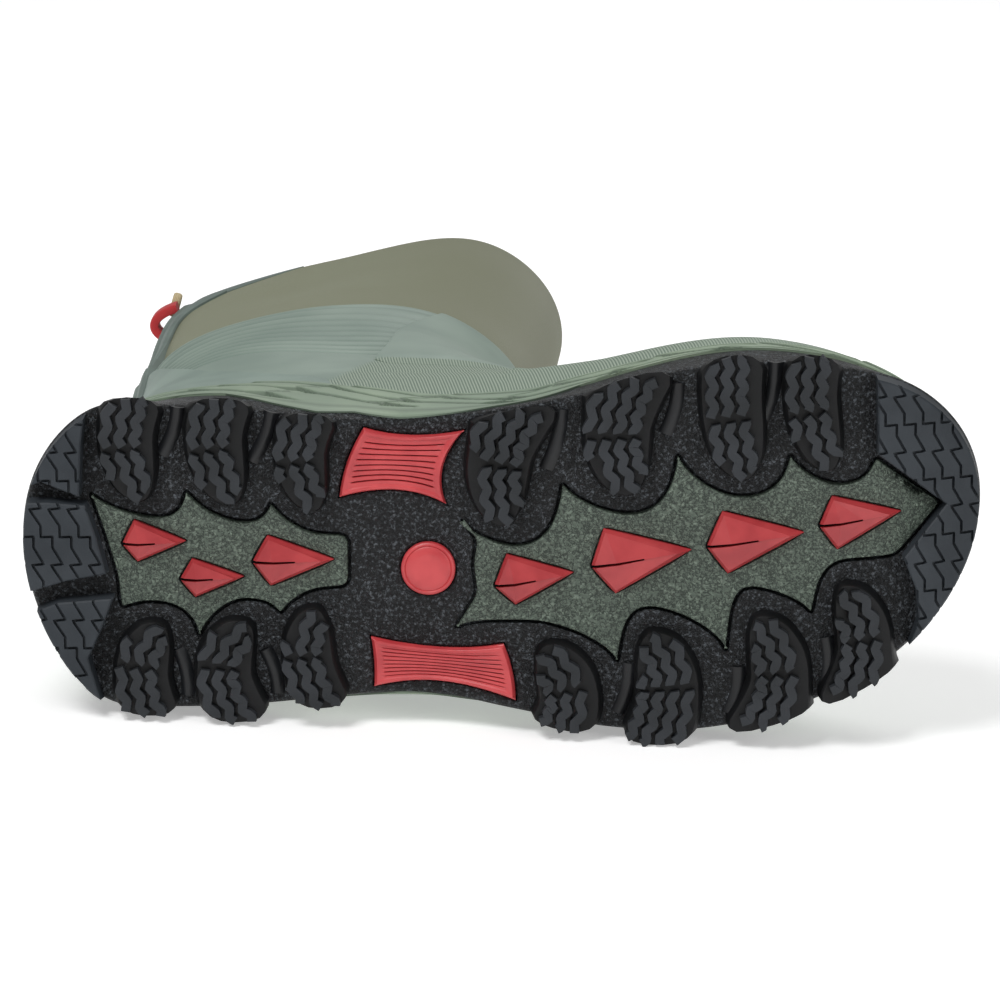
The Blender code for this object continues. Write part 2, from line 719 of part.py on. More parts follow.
def upper():
    """Rubber foot and ankle: open on the sole and at its top, where it laps over the shaft."""
    u = angles()
    outside = [0, 0.5, 1, 1.5, 2, 3, 4, 5, 6, 7, 8, 9, 10, 11, 12]
    inside = [0, 1, 2, 3, 4, 5, 6, 7, 8, 9, 10, 11]
    rings = [on_skin(u, v, 0) for v in outside + [RUBBER_TOP]]
    rings += [on_skin(u, RUBBER_TOP, -LAP), on_skin(u, LAP_START, -LAP), on_skin(u, LAP_START, -UPPER_WALL)]
    rings += [on_skin(u, v, -UPPER_WALL) for v in inside[::-1]]
    return sweep(rings)


def shaft():
    """Textile sleeve, its foot tucked inside the rubber."""
    u = angles()
    levels = [LAP_START + 0.012, RUBBER_TOP] + list(range(13, COLLAR + 1))
    face = -LAP - FIT
    rings = [on_skin(u, v, face) for v in levels]
    rings += [on_skin(u, v, face - SHAFT_WALL) for v in levels[::-1]]
    return sweep(rings)


def columns_about(middle, reach):
    """Angles on the upper's own facet lines, either side of a middle angle."""
    return (middle + np.arange(-reach, reach + 1) * 2 * math.pi / AROUND)[None, :]


def heel_counter():
    """Smooth shield round the back of the heel, highest in the middle."""
    u = columns_about(math.pi, COUNTER_REACH)
    foot = foxing_top(flat_skin(u, BORDER_LEVEL, 0)[..., 0]) + COUNTER_STEP
    head = smooth(np.abs(u - math.pi), [top.away for top in COUNTER_TOP], [top.section for top in COUNTER_TOP])
    share = np.linspace(0, 1, 8)[:, None]
    return patch(u, foot + (head - foot) * share, OVERLAY_GAP, OVERLAY_GAP + OVERLAY)


def instep_guard():
    """Smooth shield over the front of the ankle, running back along the foot on both sides."""
    u = columns_about(0, GUARD_REACH)
    away = np.clip((np.abs(u) - GUARD_FRONT) / (u.max() - GUARD_FRONT), 0, 1)
    levels = np.append(np.arange(GUARD_FOOT, RUBBER_TOP), RUBBER_TOP)
    share = (levels - GUARD_FOOT)[:, None] / (RUBBER_TOP - GUARD_FOOT)
    head = RUBBER_TOP - (RUBBER_TOP - GUARD_END) * away
    return patch(u, GUARD_FOOT + (head - GUARD_FOOT) * share, OVERLAY_GAP, OVERLAY_GAP + OVERLAY)


def backstay():
    """Strip up the back, ridged along its middle, stepping down off the rubber onto the shaft."""
    a = np.linspace(-1, 1, 9)[None, :]
    v = np.array(STAY_LEVELS, float)[:, None]
    ring = Ring(*smooth(v[:, 0], np.arange(len(RINGS)), np.array(RINGS, float)).T)
    half = STAY_HALF / np.sqrt(ring.back_round * (ring.front_s - ring.back_s) / 2)[:, None]
    on_rubber = v < STAY_STEP
    seat = 2 * OVERLAY_GAP + OVERLAY
    inner = np.where(on_rubber, seat, TAPE_GAP - LAP - FIT)
    outer = np.where(on_rubber, seat + STAY_ON_RUBBER, STAY_ON_SHAFT) + STAY_RIDGE * (1 - np.abs(a))
    return patch(math.pi - a * half, v, inner, outer)


def collar_binding():
    """Edge tape, deepest at the back and running out towards the front."""
    a = np.linspace(-1, 1, 21)[None, :]
    b = np.linspace(0, 1, 3)[:, None]
    depth = np.interp(np.abs(a), (TAPE_HOLD, 1), (TAPE_DEPTH_BACK, TAPE_DEPTH_FRONT))
    inner = TAPE_GAP - LAP - FIT
    v = COLLAR - TAPE_BELOW_EDGE - depth * (1 - b)
    return patch(math.pi - a * TAPE_SPAN, v, inner, inner + TAPE_THICK)


def strap_path():
    """Middle line of the strap round the back: on the collar at its ends, bowed away between them."""
    a = np.linspace(-1, 1, STRAP_POINTS)
    off = np.interp(a, (-1, 1), (STRAP_OFF_OUTER, STRAP_OFF_INNER)) + STRAP_THICK / 2
    points = on_skin(math.pi + STRAP_TURN - a * STRAP_SPAN, STRAP_LEVEL, off)
    points[:, 0] -= STRAP_BOW * (1 - a ** 2) ** 0.8
    return points


def pull_strap():
    path = strap_path()
    along = np.gradient(path[:, :2], axis=0)
    along /= np.linalg.norm(along, axis=1, keepdims=True)
    across = np.column_stack([along[:, 1], -along[:, 0]]) * STRAP_THICK / 2
    middle = path[:, 2].mean()
    rings = []
    for side, edge in ((1, -1), (1, 1), (-1, 1), (-1, -1)):
        rings.append(level(path[:, :2] + side * across, middle + edge * STRAP_HEIGHT / 2))
    return capped(np.swapaxes(np.array(rings), 0, 1), "face")


def strap_tip():
    """Short tongue with a round end, standing on the strap."""
    lean = math.radians(TIP_LEAN_DEG)
    along = np.array([math.cos(lean), math.sin(lean)])
    across = np.array([-along[1], along[0]])
    foot = strap_path()[:, 2].mean() + STRAP_HEIGHT / 2 + FIT
    round_end = [(TIP_LENGTH - TIP_HEIGHT / 2 * (1 - math.sin(t)), TIP_HEIGHT / 2 * (1 + math.cos(t)))
                 for t in np.linspace(math.pi, 0, 7)]
    profile = [(0, TIP_HEIGHT), (0, 0)] + round_end
    rings = []
    for side in (-1, 1):
        base = np.array(TIP_FOOT) + across * side * TIP_THICK / 2
        rings.append([(*(base + along * x), foot + y) for x, y in profile])
    return capped(rings, "face")


def insole():
    u = angles()
    outline = flat_skin(u, 0, -UPPER_WALL - 2 * FIT)
    outline[:, 2] += spring_lift(outline[:, 0])
    return capped([outline, outline + np.array([0, 0, INSOLE])], "ladder")


def finish(name, colour, roughness):
    material = bpy.data.materials.new(name)
    material.use_nodes = True
    shader = material.node_tree.nodes["Principled BSDF"]
    shader.inputs["Base Color"].default_value = (*colour, 1)
    shader.inputs["Roughness"].default_value = roughness
    shader.inputs["Metallic"].default_value = 0.0
    return material


def place(name, bm, material, pose):
    """Make a node from a mesh in boot millimetres and lay it down with the boot."""
    bmesh.ops.triangulate(bm, faces=bm.faces)
    bmesh.ops.recalc_face_normals(bm, faces=bm.faces)
    bmesh.ops.scale(bm, vec=(MM, MM, MM), verts=bm.verts)
    mesh = bpy.data.meshes.new(name)
    bm.to_mesh(mesh)
    bm.free()
    mesh.materials.append(material)
    mesh.shade_smooth()
    mesh.set_sharp_from_angle(angle=math.radians(35))
    node = bpy.data.objects.new(name, mesh)
    bpy.context.collection.objects.link(node)
    node.parent = pose


def lying_pose():
    """Empty that turns the boot until it rests on its outer side."""
    pose = bpy.data.objects.new("lying_pose", None)
    bpy.context.collection.objects.link(pose)
    pose.rotation_mode = "XYZ"
    pose.rotation_euler = (math.radians(-SHAFT_DOWN_DEG), math.radians(-TOE_UP_DEG), 0)
    turn = pose.rotation_euler.to_matrix()
    anchor = np.array(turn) @ np.array([ORIGIN_S, ORIGIN_H, ORIGIN_M])
    pose.location = tuple(-MM * anchor)
    return pose


def main():
    for ob in list(bpy.data.objects):
        bpy.data.objects.remove(ob)
    pose = lying_pose()
    black = finish("black_rubber", (0.013, 0.014, 0.015), 0.42)
    panel_green = finish("panel_rubber", (0.07, 0.1, 0.075), 0.55)
    red = finish("red_rubber", (0.58, 0.07, 0.075), 0.45)
    side_green = finish("foxing_rubber", (0.2, 0.27, 0.18), 0.55)
    upper_green = finish("upper_rubber", (0.19, 0.24, 0.2), 0.6)
    overlay_green = finish("overlay_rubber", (0.17, 0.22, 0.19), 0.5)
    olive = finish("shaft_textile", (0.24, 0.25, 0.15), 0.85)
    webbing = finish("red_webbing", (0.5, 0.05, 0.06), 0.7)
    sand = finish("sand_tape", (0.5, 0.42, 0.24), 0.75)
    foam = finish("insole_foam", (0.05, 0.055, 0.05), 0.9)

    place("outsole", outsole(), black, pose)
    place("heel_panel", sole_plate(heel_panel_outline(), PANEL_FACE), panel_green, pose)
    place("forefoot_panel", sole_plate(forefoot_panel_outline(), PANEL_FACE), panel_green, pose)
    for number, row in enumerate(HEEL_STUDS, 1):
        place(f"heel_stud_{number}", stud(row), red, pose)
    for number, row in enumerate(FOREFOOT_STUDS, 1):
        place(f"forefoot_stud_{number}", stud(row), red, pose)
    place("waist_insert_inner", sole_plate(insert_outline(INNER_INSERT), INSERT_FACE), red, pose)
    place("waist_insert_outer", sole_plate(insert_outline(OUTER_INSERT), INSERT_FACE), red, pose)
    place("waist_disc", sole_plate(disc_outline(), INSERT_FACE), red, pose)
    place("foxing", foxing(), side_green, pose)
    place("upper", upper(), upper_green, pose)
    place("shaft", shaft(), olive, pose)
    place("heel_counter", heel_counter(), overlay_green, pose)
    place("instep_guard", instep_guard(), overlay_green, pose)
    place("backstay", backstay(), overlay_green, pose)
    place("collar_binding", collar_binding(), overlay_green, pose)
    place("pull_strap", pull_strap(), webbing, pose)
    place("strap_tip", strap_tip(), sand, pose)
    place("insole", insole(), foam, pose)


main()
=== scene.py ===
"""Looks of a left rubber field boot that lies on its outer side, sole towards the camera.

Boot axes, in millimetres, as in the part's source: s from the heel to the toe, m to the inner side of the
foot, h up from the tread. Points are rows of (s, m, h) until they are laid down.
"""
import math
from collections import namedtuple

import bmesh
import bpy
import numpy as np
from mathutils import Matrix, Vector
from mathutils.geometry import delaunay_2d_cdt

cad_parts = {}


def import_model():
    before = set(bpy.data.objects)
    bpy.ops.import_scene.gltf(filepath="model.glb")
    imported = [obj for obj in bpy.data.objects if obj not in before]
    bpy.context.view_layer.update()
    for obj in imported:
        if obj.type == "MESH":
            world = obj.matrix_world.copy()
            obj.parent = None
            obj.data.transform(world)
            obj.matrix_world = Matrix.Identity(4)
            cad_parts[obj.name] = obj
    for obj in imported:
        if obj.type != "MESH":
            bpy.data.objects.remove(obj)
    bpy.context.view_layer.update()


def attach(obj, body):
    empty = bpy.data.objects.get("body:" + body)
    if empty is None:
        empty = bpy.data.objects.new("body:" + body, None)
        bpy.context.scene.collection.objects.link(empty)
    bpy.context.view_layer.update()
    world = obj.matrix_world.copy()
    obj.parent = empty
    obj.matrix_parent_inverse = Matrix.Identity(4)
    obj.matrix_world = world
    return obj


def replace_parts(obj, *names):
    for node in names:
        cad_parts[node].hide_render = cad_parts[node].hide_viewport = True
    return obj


MM = 0.001
WELD = 0.003

# Lying pose
TOE_UP_DEG = 2.467
SHAFT_DOWN_DEG = 1.539
ORIGIN_S = 155.4
ORIGIN_H = 223.61
ORIGIN_M = -53.85

# Camera, in boot axes
CAMERA_RISE_DEG = 13.2
CAMERA_TURN_DEG = 1.3
CAMERA_DISTANCE = 1600.0
CAMERA_AIM = (158.0, 21.8, 0.0)
CAMERA_LENS = 175.68

# Sole
LENGTH = 317.0
LUG_DEPTH = 7.0
EDGE_ROUND = 1.6
EdgeStep = namedtuple("EdgeStep", "inset rise")
EDGE_STEPS = (            # of the sole's round edge, as shares of its rounding
    EdgeStep(1.3, 0.0),
    EdgeStep(0.7, 0.12),
    EdgeStep(0.25, 0.45),
    EdgeStep(0.0, 1.0),
)
SIDE_ROWS = (0.35, 0.7, 0.96)
RIM = 4.0
RIM_LIP = 0.8
FIT = 0.3
HEEL_END_ROUND = 65.0
TOE_END_ROUND = 48.0
HEEL_SWING = 7.0
HEEL_SWING_END = 45.0
TOE_SWING = 18.0
TOE_SWING_START = 190.0
TOE_SPRING = 16.0
SPRING_START = 245.0
ARCH_RISE = 4.0
ARCH_START = 98.0
ARCH_END = 168.0
ARCH_FADE_HEIGHT = 12.0
MITRE_LIMIT = 0.25

Width = namedtuple("Width", "s half")
SOLE_WIDTHS = (
    Width(22, 47.5),
    Width(45, 51.5),
    Width(75, 50.5),
    Width(100, 48),
    Width(128, 46),
    Width(160, 51),
    Width(190, 57),
    Width(220, 61.5),
    Width(245, 60.5),
    Width(270, 54.5),
    Width(295, 42.5),
)

# Sections of the upper, from the sole to the collar
Ring = namedtuple("Ring", "front_s front_h back_s back_h back_round heel mid ball front_round sag")
RINGS = (
    Ring(307, 13, 9, 20, 50, 46.5, 45.5, 56, 44, 0),
    Ring(309.5, 32, 7.5, 42, 46, 46.5, 50, 59, 46, 0),
    Ring(307.5, 47, 7.5, 57, 42, 45.5, 51, 59.5, 43, 0),
    Ring(299, 60, 8.5, 71, 40, 44.5, 50.5, 56, 38, 0),
    Ring(284, 70, 10.5, 85, 38, 43, 48.5, 49.5, 32, 0),
    Ring(262, 79, 13, 99, 36, 42, 46.5, 44, 28, 0),
    Ring(238, 88, 15.5, 113, 34, 41, 45, 40.5, 27, 0),
    Ring(215, 100, 18, 128, 33, 40, 44, 39, 27, 0),
    Ring(195, 115, 20, 144, 32, 39, 43, 38.5, 27, 0),
    Ring(180, 134, 21, 162, 31, 37.5, 42.5, 38, 28, 0),
    Ring(168, 158, 21, 183, 29, 35.5, 42, 37.5, 28, 0),
    Ring(161, 187, 20, 208, 26, 33, 41, 36.5, 27, 0),
    Ring(161.5, 222, 18.5, 236, 23, 31, 40, 35.5, 27, 0),
    Ring(165, 262, 17, 272, 19, 28, 39, 35.5, 28, -2),
    Ring(168, 308, 15, 312, 15, 25, 37, 36, 29, -5),
    Ring(171, 352, 14, 354, 12, 22, 35, 38, 33, -8),
    Ring(174, 398, 14.5, 397, 6, 19.5, 33.5, 39.5, 36, -10),
    Ring(176, 446, 19.5, 440, 3, 17.5, 33, 38.5, 36, -12),
)
SECTION_PLACES = (0.0, 0.2, 0.5, 0.8, 1.0)
SIDE_SINE = 0.8           # sine of the section's angle at its heel and ball places
COLLAR = len(RINGS) - 1
RUBBER_TOP = 12.5
LAP_START = 12.1
LAP = 1.5
UPPER_WALL = 4.0
SHAFT_WALL = 2.6
TOE_BOX_TOP = 3.0
SPRING_FADE = 4.0
INSOLE = 4.0
OVERLAY = 1.8
ROLLED_EDGE = 0.35        # share of an overlay's thickness that is left at its rim
GUARD_FOOT = 7.0
GUARD_END = 7.6
GUARD_FRONT = 0.98
GUARD_SPAN = 1.571
CLOTH_TOP = 7.55
CLOTH_FADE = 0.1
CounterTop = namedtuple("CounterTop", "away section")
COUNTER_TOP = (
    CounterTop(0.0, 12.2),
    CounterTop(0.4, 12.0),
    CounterTop(0.6, 10.5),
    CounterTop(0.75, 8.4),
    CounterTop(0.87, 6.4),
    CounterTop(1.0, 5.0),
    CounterTop(1.2, 3.4),
)
COUNTER_SPAN = 1.178

# Foxing
Band = namedtuple("Band", "s foot top")
FOXING_BAND = (
    Band(0, 0.32, 1.5),
    Band(30, 0.4, 1.75),
    Band(58, 0.5, 2.1),
    Band(74, 0.36, 2.25),
    Band(90, 0.14, 2.1),
    Band(108, 0.09, 1.35),
    Band(128, 0.08, 0.85),
    Band(150, 0.09, 0.7),
    Band(168, 0.16, 0.75),
    Band(192, 0.44, 0.96),
    Band(212, 0.44, 0.92),
    Band(250, 0.34, 0.78),
    Band(316, 0.28, 0.72),
)
BORDER_LEVEL = 0.26
FOXING_THICK = 3.1
Dip = namedtuple("Dip", "s share")
FOXING_DIP = (            # how far the band dips over the sole's side at the waist
    Dip(66, 0.0),
    Dip(84, 0.5),
    Dip(100, 0.85),
    Dip(111, 0.6),
    Dip(126, 0.85),
    Dip(150, 0.6),
    Dip(170, 0.3),
    Dip(186, 0.0),
)
DIP_ROWS = (1.0, 0.97, 0.7, 0.4, 0.15)
# painted shade on the dipped rows: at the band's lower edge and partway up the dip
DIP_SHADE = (0.8, 0.3, 0.0, 0.5, 0.0)
DIP_LIP = 0.6
LEAF_RISE = 0.95
LEAF_POINT = 0.75         # below 1 makes a leaf fuller towards its tips
LEAF_BLEND = 0.3
LEAF_CROWN = 0.45
LEAF_TILT = 0.3
LEAF_LINE = 0.022
LEAF_LINE_DEPTH = 0.35
# share of painted shade in the lines where the leaves lap
LEAF_LINE_SHADE = 0.8
FOXING_TOP_ROUND = 1.3
FOXING_TOP_START = 0.9
Leaf = namedtuple("Leaf", "count shift middle half slant lift")
LEAF_ROWS = (
    Leaf(21, 0.3, 0.86, 0.16, 0.12, 0.0),
    Leaf(19, 0.75, 0.62, 0.19, 0.22, 0.3),
    Leaf(20, 0.1, 0.36, 0.19, 0.2, 0.6),
    Leaf(18, 0.55, 0.1, 0.18, 0.16, 0.8),
)

# Tread lugs: middle of the outer end, of the waist and of the nose, and the lug's width
Lug = namedtuple("Lug", "outer_s outer_m mid_s mid_m nose_s nose_m width")
LUGS = (
    Lug(38, 55, 35, 38, 41, 20, 18),
    Lug(67, 55, 64, 38, 71, 19, 19),
    Lug(96, 50, 92, 34, 98, 17, 16.5),
    Lug(165, 52, 157, 33, 160, 12, 21),
    Lug(202, 63, 196, 43, 202, 23, 22),
    Lug(234, 70, 234, 49, 239, 28, 20),
    Lug(261, 70, 260, 51, 267, 31, 17),
    Lug(178, -57, 181, -43, 171, -29, 20),
    Lug(209, -62, 214, -42, 206, -24, 21),
    Lug(245, -56, 251, -37, 242, -18, 20),
    Lug(275, -45, 279, -26, 270, -8, 18),
    Lug(42, -53, 39, -36, 47, -22, 18),
    Lug(72, -55, 66, -36, 76, -22, 19),
    Lug(100, -50, 94, -32, 98, -16, 16.5),
)
Taper = namedtuple("Taper", "place share")
LUG_TAPER = (
    Taper(0.0, 1.0),
    Taper(0.33, 1.0),
    Taper(0.6, 0.98),
    Taper(0.82, 0.78),
    Taper(0.95, 0.42),
)
LugLevel = namedtuple("LugLevel", "h widen pull")
LUG_LEVELS = (
    LugLevel(2.4, -0.3, 0.0),
    LugLevel(2.9, 0.2, 0.03),
    LugLevel(7.0, 1.4, 0.1),
    LugLevel(12.0, 1.4, 0.55),
)
STRIP_PITCH = 4.95        # strip and gap across a lug
STRIP_SHIFT = 1.4         # towards the heel, which leaves a dark flank on the other side
STRIP_HALF = 1.5
STRIP_FOOT = 1.7
STRIP_HEIGHT = 2.6
ZIGZAG_LENGTH = 6.2
ZIGZAG_SWING = 0.95
STRIP_STEP = 0.775
CROSS_GROOVE = 1.9        # groove across the middle of each lug
SIPE_WIDTH = 0.9
SIPE_DEPTH = 1.6

# One turn of a cut in the heel and toe plates, as steps along the sole and towards its outer side
Step = namedtuple("Step", "s m")
SIPE_TURN = (
    Step(-3.8, -0.4),
    Step(3.6, -5.6),
    Step(0, -3.8),
    Step(3.8, 0.2),
    Step(0, -3.7),
    Step(3.2, -5.6),
)
SIPE_PITCH = 6.25
SIPE_ROWS = 9
SIPE_COLUMNS = range(-7, 4)
SIPE_OFFSET = 6.6
SIPE_START_M = 93.8
HEEL_SIPE_S = 11.4
TOE_SIPE_S = 289.7

# Smooth bars on the sole's face between two lugs
Bar = namedtuple("Bar", "start_s start_m end_s end_m")
BARS = (
    Bar(46.5, 35, 52, 51),
    Bar(76, 33, 83, 49.5),
    Bar(173, 31, 178, 51),
    Bar(212, 43, 216, 60),
    Bar(244, 48, 248, 67),
    Bar(51, -31, 54, -47),
    Bar(80, -31, 84, -46),
    Bar(201, -35, 197, -52),
    Bar(237, -36, 234, -52),
    Bar(266, -26, 266, -43),
)
BAR_TOP = 1.6
BAR_FOOT = 5.6
BAR_HEIGHT = 1.8
BAR_RISE = 0.5            # of a bar's middle off the sole's face
BAR_BOW = 1.2

# Panel edges
Scallop = namedtuple("Scallop", "crown_s crown_m cusp_s cusp_m")
HEEL_INNER_EDGE = (
    Scallop(46, 14, 54, 24),
    Scallop(74, 12.5, 82, 20),
    Scallop(100, 8.5, 108, 7.5),
)
HEEL_OUTER_EDGE = (
    Scallop(42, -15, 58, -28),
    Scallop(73, -14, 85, -20),
    Scallop(100, -10, 108, -9),
)
FOREFOOT_INNER_EDGE = (
    Scallop(163, 5, 178, 27),
    Scallop(200, 16, 216, 37),
    Scallop(237, 22, 253, 37),
    Scallop(270, 26, 281, 35),
)
FOREFOOT_OUTER_EDGE = (
    Scallop(168, -21, 197, -36),
    Scallop(207, -16, 233, -32),
    Scallop(240, -9, 261, -19),
    Scallop(273, 0, 289, 1),
)
Point = namedtuple("Point", "s m")
HEEL_PANEL_BACK = (Point(32, -18), Point(31, -6), Point(27, 8), Point(22, 23))
FOREFOOT_PANEL_BACK = (Point(142, -25), Point(150, -12), Point(148.5, -2), Point(150, 6), Point(144, 14))
FOREFOOT_PANEL_TIP = Point(304, 18)
SLOW_SHOULDER, TIGHT_SHOULDER = 0.3, 0.75
Handle = namedtuple("Handle", "along across")
CUSP_LEAVE = Handle(0.15, 0.6)
CUSP_ARRIVE = Handle(0.05, 0.5)
SCALLOP_POINTS = 10
PANEL_FACE = 6.3
POCKET_FLOOR = 9.4
POCKET_SINK = 0.3
STUD_POCKET_FLOOR = POCKET_FLOOR - 1.2
LipStep = namedtuple("LipStep", "wide sink")
POCKET_LIP = (LipStep(0.45, 0.0), LipStep(0.15, 0.12), LipStep(0.0, 0.5))
PANEL_LIP = (LipStep(-0.95, 0.0), LipStep(-0.75, 0.07), LipStep(-0.6, 0.35))
PANEL_WALL = -0.55

# Waist inserts
Corner = namedtuple("Corner", "s m bow")
INNER_INSERT = (
    Corner(113, 44, 2.5),
    Corner(146, 43, 4),
    Corner(140, 18, 3.5),
    Corner(105, 21, -1.5),
)
OUTER_INSERT = (
    Corner(115, -27, 3),
    Corner(159, -29, -1),
    Corner(163, -48, 3.5),
    Corner(116, -44, 0.5),
)
INSERT_FACE = 5.6
INSERT_GROOVES = 10
INSERT_GROOVE_DEPTH = 0.9
INSERT_BRIM = 0.5
INSERT_EDGE = 1.2
INSERT_EDGE_RUN = (0.0, 1.0)      # from the plate's edge inwards
INSERT_BRIM_RUN = (1.6, 2.6)
INSERT_GROOVE_RUN = (2.6, 3.6)
INSERT_GROOVE_WALL = (0.7, 0.97)  # of half the way between two grooves

# Studs
Stud = namedtuple("Stud", "tail_s tail_m inner_s inner_m tip_s tip_m outer_s outer_m")
HEEL_STUDS = (
    Stud(33, 5, 37, 13, 54, 6, 38, -1),
    Stud(52, -7, 56, 0, 73, -6, 57, -13),
    Stud(76, -1, 81, 8, 103, 0, 82, -9),
)
FOREFOOT_STUDS = (
    Stud(156, -9, 160, 2, 182, -4, 163, -15),
    Stud(188, -2, 192, 11, 221, 4, 196, -11),
    Stud(226, 5, 231, 17, 258, 10, 233, -4),
    Stud(263, 12, 267, 22, 290, 16, 269, 4),
)
STUD_FOOT = 5.2
STUD_RIDGE = 2.4
RIDGE_TAIL = 0.26         # where the ridge starts and ends between tail and tip
RIDGE_TIP = 0.86
RIDGE_FALL = 0.8
STUD_CHAMFER = 0.9
CHANNEL = 0.5             # half of the dark groove round what is set in the sole
STUD_CHANNEL = 0.8
STUD_SPREAD = 0.1
STUD_BRIM = 0.4
SLIT_START = -0.04
SLIT_END = 0.53
SLIT_NARROW = 0.6
Slit = namedtuple("Slit", "half low_tail low_end high")
SLIT_CUT = Slit(0.55, STUD_RIDGE - 2, STUD_RIDGE - 2, STUD_FOOT + 2.5)
# black box set in each stud's slit as painted shade
SLIT_SHADE_FILL = Slit(SLIT_CUT.half + 0.2, STUD_FOOT + 1.3, STUD_RIDGE + 1.5, STUD_FOOT + 3)

# Heel and toe plates
Stretch = namedtuple("Stretch", "start_s start_side end_s end_side points")
TOE_PLATE_EDGE = Stretch(281.5, 1, 294, -1, 28)
TOE_PLATE = (Point(296.5, -20), Point(295.5, -10), Point(291, 1), Point(305, 18.5), Point(282, 36.5))
INNER_PLATE_EDGE = Stretch(21, 1, 3.2, 1, 10)
INNER_PLATE = (Point(7, 27), Point(19.5, 22), Point(20.5, 40))
MIDDLE_PLATE_EDGE = Stretch(1.4, 1, 2.2, -1, 10)
MIDDLE_PLATE = (Point(15, -6.5), Point(28, -4), Point(25, 8), Point(21.5, 19), Point(9, 20))
OUTER_PLATE_EDGE = Stretch(4.2, -1, 25, -1, 12)
OUTER_PLATE = (Point(21.5, -33), Point(26, -23), Point(30, -12.5), Point(12, -14))
PLATE_EDGE = 0.8
PLATE_BEVEL = 0.5
PLATE_ROOT = 3.0

# Plain disc in the waist
DISC_S = 134.0
DISC_M = -4.0
DISC_RADIUS = 9.0
DiscRing = namedtuple("DiscRing", "share h")
DISC_RINGS = (            # from its middle to its foot, with a fine groove inside the brim
    DiscRing(0.0, 5.2),
    DiscRing(0.5, 5.25),
    DiscRing(0.8, 5.4),
    DiscRing(0.84, 5.75),
    DiscRing(0.88, 5.4),
    DiscRing(0.96, 5.6),
    DiscRing(1.0, 6.1),
    DiscRing(1.0, 9.2),
)
DISC_MIDDLE = 0.02

# Strip up the back, tape round the collar and the strap
STAY_HALF = 13.0
STAY_FOOT = 3.9
STAY_HEAD = 16.5
STAY_STEP = 12.54
STAY_THICK = 1.5
STAY_RIDGE = 1.2
STAY_GROOVE = 0.5
CORD_SIDE = (0.3, 0.5)    # shares of half the strip's width
CORD_GROOVE = 0.54
CORD_GROOVE_HALF = 0.06
STAY_EDGE = 0.12
TAPE_SPAN = 1.15
TAPE_DEPTH_BACK = 0.46
TAPE_DEPTH_FRONT = 0.03
TAPE_HOLD = 0.62
STRAP_LEVEL = 16.36
STRAP_SPAN = 0.34
STRAP_TURN = 0.11
STRAP_BOW = 7.5
STRAP_THICK = 2.2
STRAP_FILL = 1.6          # seam allowance that thickens the strap inwards
STRAP_HEIGHT = 9.0
STRAP_OFF_INNER = 2.2
STRAP_OFF_OUTER = 1.75
TIP_LENGTH = 9.5
TIP_THICK = 3.6
TIP_HEIGHT = 8.0
TIP_FOOT = Point(13.2, 0.8)
TIP_LEAN_DEG = 75.0

# Ribs round the ankle, counted in sections
RIB_FOOT = 8.1
RIB_FULL = 8.5
RIB_FADE = 12.25
RIB_HEAD = 12.38
RIBS_PER_SECTION = 2.35
RIB_DEPTH = 1.7
RIB_FULLNESS = 0.6        # below 1 makes round ribs with narrow grooves
# share of painted shade in the grooves between the ribs
RIB_GROOVE_SHADE = 0.8
LIP_START = 12.42
LIP_DROP = 0.9

# Slack of the shaft
FOLD_DEPTH = 0.6
FOLD_PLACE = 0.35
FOLD_HALF = 0.2
FOLD_LEAN = 0.06
FOLD_RUN = (12.8, 14.0)
RIPPLE = 0.2
RIPPLE_UP = 2.1
RIPPLE_AROUND = 2.0
RIPPLE_RUN = (12.7, 14.0)
COLLAR_ROUND = 0.5

# Seams of the foot, which lean with the height above the sole
SEAM_RISE = 0.7
SEAM_HALF = 1.4
SEAM_END = (4.6, 5.2)
EDGE_SEAM_RISE = 0.5
EDGE_SEAM_HALF = 1.3
EDGE_SEAM_END = (5.0, 6.0)
DENT_DEPTH = 1.3
DENT_LEVEL = 5.2
DENT_HALF = 0.4
DENT_BACK = (-0.5, 0.2)
DENT_FRONT = (0.5, 0.9)
SEAM_S = 158.0
SEAM_LEAN = 0.1
CLOTH_EDGE_S = 88.0
CLOTH_EDGE_LEAN = 0.28
LEAN_FROM = 40.0

# Pitches of hatched and woven threads, in metres
HATCH_PITCH = 0.001
HATCH_CROSS_PITCH = 0.0011
TWILL_PITCH = 0.0016
WEFT_PITCH = 0.001
STREAK_PITCH = 0.0017
WEBBING_RIB_PITCH = 0.0011
WEBBING_PICK_PITCH = 0.0009

# Grain of moulded rubber, with its painted glints and painted crease shade, in features a metre
FOLD_GRAIN = 720
PAINTED_GLINT_GRAIN = 760
PORE_GRAIN = 1900
TOOTH_GRAIN = 1500

# Studio, in metres and watts
FLOOR_HALF = 12.0
FLOOR_GLOW = 0.34
SKY_LIGHT = 0.28
LIGHT_AIM = (0.0, -0.1, 0.06)
Lamp = namedtuple("Lamp", "name x y z size power")
LAMPS = (
    Lamp("key", -0.8, -1.3, 2.0, 0.9, 35.0),
    Lamp("fill", 1.5, -1.5, 1.0, 1.2, 11.0),
    Lamp("rim", 0.2, 1.3, 1.6, 1.0, 12.0),
)


def cubic(place, width, low, high, low_slope, high_slope):
    """Cubic between two values with given slopes."""
    start = (low * (1 + 2 * place) + width * low_slope * place) * (1 - place) ** 2
    end = (high * (3 - 2 * place) - width * high_slope * (1 - place)) * place ** 2
    return start + end


def span(x, knots):
    """The stretch between knots that holds x: its number, the place along it and its width."""
    i = np.clip(np.searchsorted(knots, x) - 1, 0, len(knots) - 2)
    width = knots[i + 1] - knots[i]
    return i, (x - knots[i]) / width, width


